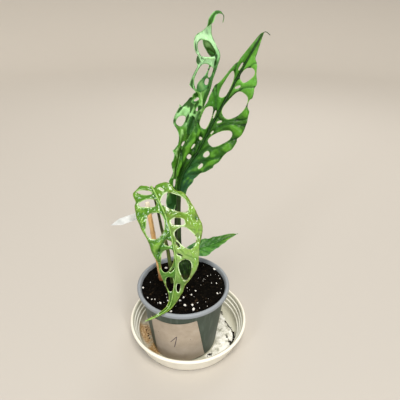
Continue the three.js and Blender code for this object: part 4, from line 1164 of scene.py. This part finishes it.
def blade(leaf):
    """A leaf's blade as vertices, faces and attributes: one closed thin skin cut by its holes."""
    flat, faces, on_rim, edge, outer = flat_blade(leaf)
    vein = np.full(len(flat), 99.0)
    for key, half in (("veins_right", 1), ("veins_left", -1)):
        for line in leaf[key]:
            vein = np.minimum(vein, nearness(flat, line, half))
    _, length = spline(leaf["rib"], RIB_POINTS)
    height = blade_height(leaf, flat, edge, vein, length)
    place, normal = leaf_surface(leaf, flat)
    middle = place + normal * height[:, None]
    skin = normal * (HALF_THICKNESS * np.sqrt(np.clip(edge / 0.7, 0, 1)))[:, None]
    low_number = np.arange(len(flat)) + len(flat)
    low_number[on_rim] = np.nonzero(on_rim)[0]
    vertices = np.vstack([middle + skin, middle - skin])
    attributes = {
        "edge": np.tile(edge, 2),
        "vein": np.tile(vein, 2),
        "rib": np.tile(np.abs(flat[:, 1]), 2),
        "across": np.tile(flat[:, 1], 2),
        "tipward": np.tile(flat[:, 0] / length, 2),
        "upper": np.concatenate([np.where(on_rim, 0.5, 1.0), np.zeros(len(flat))]),
        # How high each point stands, from which the skin paints shade in the dips and light on the crests.
        "raised": np.concatenate([0.5 + height / leaf["depth"], 0.5 - height / leaf["depth"]]),
        "outer": np.tile(outer, 2),
    }
    used, faces = renumbered(np.vstack([faces[:, ::-1], low_number[faces]]), len(vertices))
    return vertices[used], faces, {title: values[used] for title, values in attributes.items()}


def stalk(leaf):
    """A leaf's petiole, its swollen knee and its midrib as one tapering tube, and the midrib's start."""
    path, length = spline([*leaf["petiole"], *leaf["rib"]], STALK_POINTS)
    _, below = spline([*leaf["petiole"], leaf["rib"][0]], STALK_POINTS)
    share = below / length
    foot, neck, tip = leaf["thick"]
    radii = []
    for u in np.linspace(0, 1, STALK_POINTS):
        if u < share:
            radius = foot + (neck - foot) * u / share
        else:
            radius = neck + (tip - neck) * ((u - share) / (1 - share)) ** 0.38
        radii.append(radius + 0.35 * math.exp(-(((u - share) * length + 7) / 7) ** 2))
    vertices, faces = swept(
        path, radii, STALK_AROUND, lambda u, angle: 0.03 * math.sin(5 * angle + 9 * u))
    return vertices, faces, int(share * (STALK_POINTS - 1)) * STALK_AROUND


def leaf_material(title, right, left, under, keel, shade, crest_light, vein, valley, margin, gloss, wax):
    """A leaf's skin, with runs of colour to the tip for its halves, its underside and its midrib's keel."""
    material, tree, shader, coords = new_material(title)
    valley_width, valley_shade_colour = valley
    rim_width, right_hole_rim_and_highlight, left_hole_rim_and_highlight, outer_rim, rolled_rim_shade = margin
    value = {
        name: add_node(tree, "Attribute", attribute_name=name)
        for name in ("edge", "vein", "rib", "across", "upper", "tipward", "raised", "outer")
    }
    patches = add_node(tree, "TexNoise", [coords, grain(16.7), 3, 0.5])
    cells = add_node(tree, "TexNoise", [coords, grain(2.63), 4, 0.6])
    drift = add_node(tree, "Math", [patches, 0.16, -0.08], operation="MULTIPLY_ADD")
    reached = add_node(tree, "Math", [value["tipward"], drift], operation="ADD")
    right_run, left_run, under_run, keel_run = [
        add_node(tree, "ValToRGB", [reached], stops=run) for run in (right, left, under, keel)]
    half = add_node(tree, "MapRange", [value["across"], 1.5, -1.5], **SMOOTH)
    top = add_node(tree, "Mix", [half, right_run, left_run])
    between = add_node(tree, "MapRange", [patches, 0.5, 0.68, 0.0, 0.45], **SMOOTH)
    shaded = add_node(tree, "Mix", [between, top, shade])
    vein_line = add_node(tree, "MapRange", [value["vein"], 1.6, 0.2, 0.0, 0.7], **SMOOTH)
    veined = add_node(tree, "Mix", [vein_line, shaded, vein])
    # Along the midrib's fold the blade is painted darker, as painted shade.
    valley_shade = add_node(
        tree, "MapRange", [value["rib"], valley_width, 0.35 * valley_width, 0.0, 0.85], **SMOOTH)
    valley_shaded = add_node(tree, "Mix", [valley_shade, veined, valley_shade_colour])
    keel_reach = add_node(tree, "MapRange", [value["rib"], 5.5, 3.0, 0.0, 0.9], **SMOOTH)
    beneath = add_node(tree, "Mix", [keel_reach, under_run, keel_run])
    sides = add_node(tree, "Mix", [value["upper"], beneath, valley_shaded])
    # Dips are painted darker, as painted shade, and crests lighter, as painted light.
    sunk = add_node(tree, "MapRange", [value["raised"], 0.38, 0.24, 0.0, 0.9], **SMOOTH)
    trough_shaded = add_node(tree, "Mix", [sunk, sides, shade])
    high = add_node(tree, "MapRange", [value["raised"], 0.58, 0.85, 0.0, 0.8], **SMOOTH)
    crest_lit = add_node(tree, "Mix", [high, trough_shaded, crest_light])
    # The rims are paler, partly their own tone and partly painted highlight. In patches a rim is painted
    # dark, as painted shade where the margin rolls under.
    uneven = add_node(tree, "Math", [patches, 2.0 * rim_width], operation="MULTIPLY")
    rim_reach = add_node(tree, "Math", [value["edge"], uneven], operation="DIVIDE")
    rim = add_node(tree, "MapRange", [rim_reach, 1.0, 0.3, 0.0, 0.75], **SMOOTH)
    hole_rim_and_highlight = add_node(tree, "Mix", [half, right_hole_rim_and_highlight, left_hole_rim_and_highlight])
    rim_colour = add_node(tree, "Mix", [value["outer"], hole_rim_and_highlight, outer_rim])
    frayed = add_node(tree, "TexNoise", [coords, grain(7.7), 2])
    rolled = add_node(tree, "MapRange", [frayed, 0.5, 0.57, 0.0, 0.9], **SMOOTH)
    rim_rolled_shade = add_node(tree, "Mix", [rolled, rim_colour, rolled_rim_shade])
    edged = add_node(tree, "Mix", [rim, crest_lit, rim_rolled_shade])
    speckle = add_node(tree, "MapRange", [cells, 0.3, 0.7, 0.78, 1.16])
    mottled = add_node(tree, "Mix", [0.7, edged, speckle], blend_type="MULTIPLY")
    dull = add_node(tree, "MapRange", [value["upper"], 0.0, 1.0, gloss + 0.14, gloss])
    blister = add_node(tree, "Bump", {"Height": patches, "Strength": 0.5, "Distance": 0.004})
    relief = add_node(tree, "Bump", {
        "Height": cells, "Strength": 0.4, "Distance": 0.0004, "Normal": blister})
    fill(tree, shader, {
        "Base Color": mottled, "Roughness": dull, "Normal": relief, "IOR": 1.5, "Specular IOR Level": wax})
    return material


def petiole_material(title, light, dark, scars=()):
    """A petiole's waxy skin, streaked along, with dark scuffs, and scars given by height and reach."""
    material, tree, shader, coords = new_material(title)
    along = add_node(tree, "Mapping", {"Vector": coords, "Scale": (1.0, 1.0, 0.15)})
    streak = add_node(tree, "TexNoise", [along, grain(2.38), 3])
    marks = add_node(tree, "TexNoise", [coords, grain(8.3), 2])
    skin = add_node(tree, "Mix", [add_node(tree, "MapRange", [streak, 0.35, 0.65]), dark, light])
    scuffs = add_node(tree, "MapRange", [marks, 0.64, 0.7, 0.0, 0.7])
    scuffed = add_node(tree, "Mix", [scuffs, skin, "#1c1e0c"])
    place = add_node(tree, "SeparateXYZ", [coords])
    for height, reach in scars:
        scar = add_node(tree, "Math", [place.outputs["Z"], height, reach], operation="COMPARE")
        scuffed = add_node(tree, "Mix", [scar, scuffed, "#0d0c06"])
    fill(tree, shader, {"Base Color": scuffed, "Roughness": 0.38, "IOR": 1.45, "Specular IOR Level": 0.25})
    return material


def make_leaf(name, leaf, skins, replaced):
    """Joins a leaf's blade, petiole and midrib in one piece, each with its own skin."""
    blade_vertices, blade_faces, attributes = blade(leaf)
    stalk_vertices, stalk_faces, midrib_start = stalk(leaf)
    vertices, faces = joined([(blade_vertices, blade_faces), (stalk_vertices, stalk_faces)])
    slots = [0] * len(blade_faces) + [2 if max(face) > midrib_start else 1 for face in stalk_faces]
    attributes = {
        title: np.concatenate([values, np.full(len(stalk_vertices), 5.0)])
        for title, values in attributes.items()
    }
    made = make_mesh(name, vertices, faces, skins, attributes, sharp=70, slots=slots)
    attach(made, "root")
    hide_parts(replaced)


# Living leaf under a waxy cuticle: glossy, light yellow-green, with pale margins and a paler underside.
# Its cells are too fine to show, and are drawn as a speckle of 2 to 3 mm.
# Its left half is painted paler than its right, with a broad painted sheen, and the rims of its holes are
# painted whitish, partly as painted highlight.
front_skin = leaf_material(
    "leaf cuticle, light green",
    right=[(0.0, "#4c7e1c"), (0.25, "#3d6f14"), (0.5, "#3c6e13"), (0.8, "#355f0e"), (1.0, "#213c05")],
    left=[(0.0, "#54841e"), (0.2, "#648422"), (0.34, "#86a650"), (0.5, "#84a657"), (0.72, "#5c8226"),
        (0.85, "#426a16"), (1.0, "#2a480a")],
    under=[(0.0, "#94bc66"), (1.0, "#98c06c")], keel=[(0.0, "#86ac58"), (1.0, "#86ac58")],
    shade="#265208", crest_light="#78a438", vein="#58842a", valley=(1.5, "#3a6414"),
    margin=(1.4, "#a4c878", "#dcf2bc", "#86a238", "#5c5c10"), gloss=0.16, wax=0.6)
front_petiole = petiole_material(
    "petiole skin, olive", "#5c6a30", "#303a16",
    scars=[(0.2248, 0.0011), (0.2188, 0.0008), (0.2040, 0.0013)])
front_midrib = petiole_material("midrib skin, pale green", "#a2c870", "#7eaa48")
make_leaf("front_leaf", FRONT, [front_skin, front_petiole, front_midrib], "leaf_front")

# The right leaf stands upright on a dark petiole and leans right. It is darker and thicker, folded a
# little along its sunken midrib, and its right margin is toothed.
RIGHT = {
    "petiole": [(-4, 2.5, 108), (-6, 2.5, 121), (-10.6, 3, 139.4), (-11, 2.5, 182), (-10.9, 2, 201)],
    "rib": [(-10.4, 2.4, 220.5), (-9.5, 4, 231.5), (-5, 6.5, 246), (2, 8, 257.5), (14, 11, 276.5),
        (29, 16, 306), (46, 21, 338), (59, 24, 363), (72.2, 27, 386.5), (78, 28, 396.5), (81.5, 28.5, 398),
        (86, 29, 395)],
    "thick": (3.0, 2.3, 0.35),
    "facing": [(0, 0, -0.97, 0.25), (1, 0, -0.97, 0.25)],
    "fold": [(0, 18, 18), (0.5, 14, 14), (1, 10, 10)],
    "curl": [(0, 0, 0), (0.5, -0.3, -0.5), (1, 0, 0)],
    "right": [(0, 1.6), (-1, 5), (1, 8.4), (5, 9.4), (12, 10.8), (18, 13.2), (23, 14.6), (28, 14.2),
        (34, 15.5), (39, 16.6), (44, 20.4), (49, 22.8), (53, 24.8), (56, 24.4), (61, 27), (68, 28),
        (74, 30), (79, 33), (88, 34), (92, 32.8), (97, 34.4), (103, 35), (111, 34), (116, 32.6),
        (121, 30.6), (125, 29.6), (127, 27), (129, 24.8), (134, 23.4), (137, 23.8), (139, 25), (145, 23.4),
        (149, 21.8), (153, 22), (157, 20.3), (161, 17.2), (165, 15), (170, 12.6), (173, 10), (175.5, 6.9),
        (180, 5.8), (186, 4.4), (192, 2.9), (197, 1.8), (200, 1.1), (202, 0)],
    "left": [(0, 1.6), (6, 3.2), (17, 6), (26, 9.4), (32, 11.4), (41, 14.8), (50, 17.9), (58, 18.8),
        (69, 17.6), (78, 17.4), (87, 17.4), (92, 17.2), (99, 17.8), (107, 17.2), (113, 16.6), (118, 17.6),
        (125, 17.8), (131, 18), (135, 16), (140, 14.4), (147, 12.6), (154, 11.2), (160, 9.7), (164, 7.6),
        (168, 7.4), (174, 6.4), (182, 5.1), (189, 3.8), (197, 2.2), (200, 1.2), (202, 0)],
    "holes_right": [(157.2, 7.9, 17.4, 11.6, 20, 0), (141.5, 5.2, 6.5, 2.4, 40, 0),
        (123, 12.4, 33, 19.4, 14, 0), (99.5, 5.8, 5.8, 2.2, 45, 0), (83.5, 15.2, 29, 13.5, 38, 0),
        (85, 4, 4.8, 1.7, 14, 0), (61, 10.3, 7.6, 5.4, 22, 0), (46.3, 12, 7.2, 3.4, 5, 0.2)],
    "holes_left": [(97, 9.3, 25.5, 11.4, 8, 0), (104.2, 2.6, 9.5, 2, 8, 0), (138.5, 6, 30, 9, 2, -0.3),
        (161.5, 2.5, 9, 2.2, -2, 0), (73, 4, 3.2, 2.8, 0, 0), (61, 7.8, 7, 2.8, -6, 0),
        (47.5, 5.2, 5.6, 4.8, 0, 0)],
    "veins_right": [[(18, 0), (30, 8), (40, 16)], [(36, 0), (54, 12), (66, 26)],
        [(52, 0), (72, 11), (92, 32)], [(78, 0), (100, 12), (110, 33)], [(104, 0), (103, 10), (117, 31)],
        [(120, 0), (142, 10), (150, 21)], [(146, 0), (168, 7), (172, 10)]],
    "veins_left": [[(22, 0), (38, 8), (48, 16)], [(48, 0), (70, 8), (84, 16)],
        [(78, 0), (112, 7), (126, 17)], [(100, 0), (118, 8), (132, 17)], [(124, 0), (155, 6), (162, 8)],
        [(60, 0), (82, 9), (90, 16)]],
    "puff": 2.2,
    "ruffle": (0.8, 21.0),
    "valley": (0.8, 3.0),
    "crumple": (0.35, 0.0, 0.95, 16, 16),
    "groove": 0.7,
    "pleats": [
        (-1, [(24, 7), (38, 9), (50, 10.5), (62, 11.5), (74, 10), (86, 9)], 2.2, 1.3),
        (-1, [(20, 3), (36, 4.6), (50, 6), (62, 6), (76, 5)], 1.9, -1.7),
        (-1, [(44, 15.5), (56, 16.5), (70, 15.5)], 1.1, -0.9),
        (1, [(6, 5), (20, 8), (30, 12)], 1.6, -0.8),
        (1, [(46, 15.5), (58, 20), (64, 25)], 1.8, 0.8),
    ],
    "depth": 4.2,
}
# Its right half is painted a glossy teal near the base, as painted sheen, and lighter than the left towards
# the tip, as painted light.
right_skin = leaf_material(
    "leaf cuticle, deep green",
    right=[(0.0, "#284f38"), (0.14, "#25502a"), (0.3, "#275312"), (0.5, "#346018"), (0.62, "#447622"),
        (0.72, "#62a23a"), (0.93, "#62a030"), (1.0, "#7d7440")],
    left=[(0.0, "#1a3c0c"), (0.25, "#2b580b"), (0.5, "#3c7620"), (0.75, "#407820"), (0.93, "#528e26"),
        (1.0, "#6d6436")],
    under=[(0.0, "#7fae68"), (1.0, "#8fb878")], keel=[(0.0, "#6a9a54"), (1.0, "#6a9a54")],
    shade="#163808", crest_light="#5a9428", vein="#205010", valley=(2.1, "#143606"),
    margin=(0.8, "#8fbc5a", "#8fbc5a", "#5c8c34", "#122c08"), gloss=0.33, wax=0.16)
dark_petiole = petiole_material("petiole skin, dark", "#3a5624", "#1a2a11")
right_midrib = petiole_material("midrib skin, dark green", "#1f4810", "#103008")
make_leaf("right_leaf", RIGHT, [right_skin, dark_petiole, right_midrib], "leaf_right")

# The left leaf stands behind it, folded almost shut along its midrib and crumpled. It turns its pale
# underside to the front, and its tip bends over in a hook that shows the green upper side.
LEFT = {
    "petiole": [(-10.4, 5.5, 108), (-12, 7, 121), (-15, 10, 136), (-15.8, 14, 176.6)],
    "rib": [(-14.5, 17, 198.5), (-13.5, 19, 218.5), (-11.5, 22, 237.5), (-7.5, 25, 256), (-1.5, 27, 272),
        (5, 29, 287.5), (13.5, 31, 307), (19.5, 33, 324), (24.4, 34, 337), (27.4, 35, 349), (32, 35, 363),
        (34.5, 35, 374), (29.8, 35, 384), (25, 35, 394), (24.6, 35, 401.5), (24.8, 35, 408),
        (28.2, 34, 414.4), (33, 33, 415.8), (37.2, 32, 412.4), (36.4, 31, 406.4)],
    "thick": (2.3, 1.5, 0.4),
    "facing": [(0, -1, 0.1, 0), (0.87, -1, -0.1, 0), (0.915, -0.3, -1, 0.1), (1, 0, -1, 0)],
    "fold": [(0, 72, 60), (0.86, 72, 60), (0.9, 15, 15), (1, 15, 15)],
    "curl": [(0, 0, 0), (1, 0, 0)],
    "right": [(0, 1.6), (-5, 2.5), (-6.5, 6), (-4, 11), (1, 13.4), (6, 14.2), (12, 13.6), (22, 12.6),
        (32, 11.6), (38, 9.6), (44, 9.3), (49, 11), (53, 12.3), (57, 11.3), (61, 11.6), (64, 12.8),
        (67.5, 16.3), (70, 14.2), (76, 12.6), (82, 14), (89, 18.2), (93.5, 23), (97, 28), (103, 31.3),
        (109, 32.2), (115, 31.2), (119, 30), (122.5, 30.8), (121, 27), (127, 23), (132, 21.6), (134, 19),
        (136.5, 20), (139, 16.6), (141.5, 20.3), (144, 25.2), (149, 27.5), (157, 27.4), (164, 26.8),
        (169, 25.6), (174.5, 28.8), (180, 28.4), (187, 25.6), (193, 23.9), (199, 25.6), (203, 25.7),
        (206, 24.2), (208.5, 21.2), (210, 17.2), (211, 12), (213, 8.8), (216, 7), (219, 4.2), (225, 2.6),
        (231, 1.8), (235, 1), (238, 0)],
    "left": [(0, 1.6), (-4, 3), (-4, 8), (3, 11), (15, 11.5), (30, 9.5), (43, 8), (50, 9.6), (53, 10.5),
        (60, 9.4), (67, 13), (72, 11.6), (80, 10.5), (90, 11), (97, 12), (104, 12), (112, 12.6),
        (118, 14.6), (126, 15.4), (133, 14.4), (140, 15.2), (146, 15.6), (151, 15), (155, 12.8), (159, 10),
        (165, 8.6), (172, 8.8), (178, 9.8), (184, 10.4), (190, 11.4), (196, 12), (201, 12.2), (205, 11),
        (209, 8.6), (213, 6.4), (219, 4.2), (225, 2.8), (231, 1.8), (235, 1), (238, 0)],
    "holes_right": [(195.2, 13.4, 22.5, 18, 13, 0), (157.2, 12.9, 31, 21.6, -4, 0.22),
        (103.5, 21.4, 13, 10.8, 0, 0), (131, 12.4, 8.6, 4, -45, 0), (123.5, 6.1, 7.6, 3, -17, 0),
        (101.5, 6.9, 23, 8, 12, 0.25), (77.5, 6.2, 8.5, 3, 0, 0), (29, 4.8, 11.5, 2.8, 0, 0)],
    "holes_left": [(165.5, 4.9, 14, 4, 0, 0), (154, 6, 7, 4.2, 0, 0), (131.5, 10.6, 7, 3.2, -40, 0),
        (120, 8.4, 13, 6, 12, 0), (77.5, 6.2, 8, 2.8, 0, 0), (60, 5, 10, 3, 0, 0), (29, 4.8, 11, 2.8, 0, 0)],
    "veins_right": [[(20, 0), (36, 5), (44, 9)], [(48, 0), (60, 6), (66, 14)], [(70, 0), (90, 12), (98, 26)],
        [(92, 0), (114, 14), (121, 28)], [(118, 0), (138, 8), (142, 20)], [(146, 0), (178, 10), (176, 26)],
        [(178, 0), (181, 10), (176, 26)], [(196, 0), (207, 8), (208, 16)]],
    "veins_left": [[(30, 0), (46, 6), (52, 9)], [(56, 0), (76, 7), (82, 10)], [(84, 0), (108, 8), (116, 13)],
        [(110, 0), (132, 8), (144, 15)], [(140, 0), (158, 5), (162, 7)], [(168, 0), (186, 5), (194, 9)]],
    "puff": 2.0,
    "ruffle": (0.8, 26.0),
    "valley": (0.4, 2.6),
    "crumple": (0.3, 0.0, 0.62, 40, 13),
    "groove": 0.3,
    "pleats": [
        (1, [(112, 29), (118, 27), (124, 23.5), (131, 19.5)], 1.4, 1.7),
        (1, [(127, 15), (119, 14), (112, 14.5), (105, 13.5)], 1.3, 1.7),
        (1, [(143, 14), (137, 9), (130, 4.5), (122, 3)], 1.6, -1.7),
        (1, [(139, 15), (132, 10), (126, 8.5), (117, 8)], 1.4, 1.6),
        (1, [(94, 15), (86, 13), (78, 10), (70, 10)], 1.8, -1.5),
        (1, [(92, 9), (82, 8), (70, 5.5)], 1.2, 0.9),
        (1, [(72, 13), (62, 8), (50, 7.5), (36, 8)], 1.7, -1.5),
        (1, [(62, 4), (50, 3.5), (36, 4.5)], 1.1, 0.9),
        (1, [(30, 10), (16, 11), (4, 9)], 1.7, -1.4),
        (1, [(201, 27.5), (196, 26), (190, 25.5)], 1.2, 1.6),
        (1, [(185, 27), (178, 28), (171, 25.8)], 1.5, 1.6),
        (1, [(147, 27), (142, 21.5), (138, 17)], 1.5, 1.8),
        (1, [(181, 25), (179, 18), (180, 9)], 2.4, -1.2),
        (1, [(187, 4.5), (181, 4), (174, 2.5)], 1.1, 1.9),
        (1, [(168, 2), (158, 2), (148, 2.5)], 1.3, 1.6),
    ],
    "depth": 4.4,
}
# Its green upper side, seen only inside the fold, is painted a dark green below the hook, as painted shade,
# and its underside along most of the midrib is painted dark, as painted shade.
left_skin = leaf_material(
    "leaf cuticle, pale underside",
    right=[(0.0, "#1f4018"), (0.5, "#2a5018"), (0.8, "#2d5414"), (1.0, "#62a83c")],
    left=[(0.0, "#1f4018"), (0.35, "#3a7030"), (0.6, "#4c8a48"), (0.74, "#2d5414"),
        (0.88, "#284e0e"), (0.93, "#508e30"), (1.0, "#62a83c")],
    keel=[(0.0, "#24501a"), (0.3, "#2c5c14"), (0.55, "#2a5a1c"), (0.7, "#2f6420"), (0.75, "#66a458"),
        (0.79, "#b4e4aa"), (1.0, "#98d088")],
    under=[(0.0, "#2c5c34"), (0.1, "#41741c"), (0.28, "#4a801e"), (0.39, "#578e30"), (0.46, "#a4dc94"),
        (0.54, "#6ca840"), (0.6, "#8ecc7c"), (0.7, "#aee0a4"), (0.87, "#c2efb8"), (1.0, "#98d088")],
    shade="#1a4408", crest_light="#a9dc86", vein="#4c8a3a", valley=(1.3, "#387030"),
    margin=(1.2, "#6aa850", "#6aa850", "#9cd48a", "#184006"), gloss=0.38, wax=0.14)
left_midrib = petiole_material("midrib skin, pale", "#5c9444", "#244c18")
make_leaf("left_leaf", LEFT, [left_skin, dark_petiole, left_midrib], "leaf_left")

# The low leaf is the youngest, small and whole. It comes from the stem's top on a short petiole and
# reaches out to the right over the collar.
LOW = {
    "petiole": [(1, 7, 108), (0.5, 7.5, 121), (-2.5, 9.5, 131)],
    "rib": [(-4, 11, 134), (22, 18, 134.6), (66, 26.6, 150.3)],
    "thick": (1.7, 1.1, 0.4),
    "facing": [(0, 0, -0.5, 0.85), (1, 0, -0.5, 0.85)],
    "fold": [(0, 10, 10), (1, 6, 6)],
    "curl": [(0, -0.8, -0.8), (1, -0.4, -0.4)],
    "right": [(0, 1.2), (3, 5), (9, 9), (15, 11), (20, 12.4), (25, 13.6), (29, 13), (32, 11), (37, 9.6),
        (41, 8), (45, 7.8), (49, 6.2), (54, 5.4), (59, 3.2), (65, 2), (70, 1), (72.8, 0)],
    "left": [(0, 1.2), (4, 4), (10, 6.8), (18, 9.6), (25, 11), (31, 11.2), (34, 9.6), (38, 8.9), (43, 9),
        (46, 8.2), (52, 6.6), (57, 5.8), (63, 4.6), (68, 3), (71, 1.5), (72.8, 0)],
    "holes_right": [],
    "holes_left": [],
    "veins_right": [[(6, 0), (14, 6), (20, 11)], [(16, 0), (26, 7), (31, 12)], [(28, 0), (38, 5), (44, 8)],
        [(42, 0), (50, 3), (57, 5)]],
    "veins_left": [[(8, 0), (18, 5), (24, 9)], [(20, 0), (30, 5), (36, 8)], [(32, 0), (42, 5), (48, 8)],
        [(46, 0), (54, 4), (60, 6)]],
    "puff": 1.4,
    "ruffle": (0.5, 15.0),
    "valley": (0.5, 2.2),
    "crumple": (0.4, 0.0, 1.0, 14, 14),
    "groove": 0.3,
    "pleats": [],
    "depth": 3.4,
}
low_skin = leaf_material(
    "leaf cuticle, young",
    right=[(0.0, "#356c38"), (0.3, "#48802e"), (0.55, "#3f7426"), (0.75, "#5e9222"), (1.0, "#7c9c1c")],
    left=[(0.0, "#2c5a2c"), (0.3, "#3a6e28"), (0.6, "#38681e"), (0.85, "#466f1a"), (1.0, "#7c9c1c")],
    under=[(0.0, "#86b46e"), (1.0, "#86b46e")], keel=[(0.0, "#74a45c"), (1.0, "#74a45c")],
    shade="#2b6424", crest_light="#629838", vein="#245618", valley=(1.6, "#1e4a16"),
    margin=(0.6, "#5f9846", "#5f9846", "#4a8430", "#1f4218"), gloss=0.36, wax=0.22)
make_leaf("low_leaf", LOW, [low_skin, dark_petiole, left_midrib], "leaf_low")
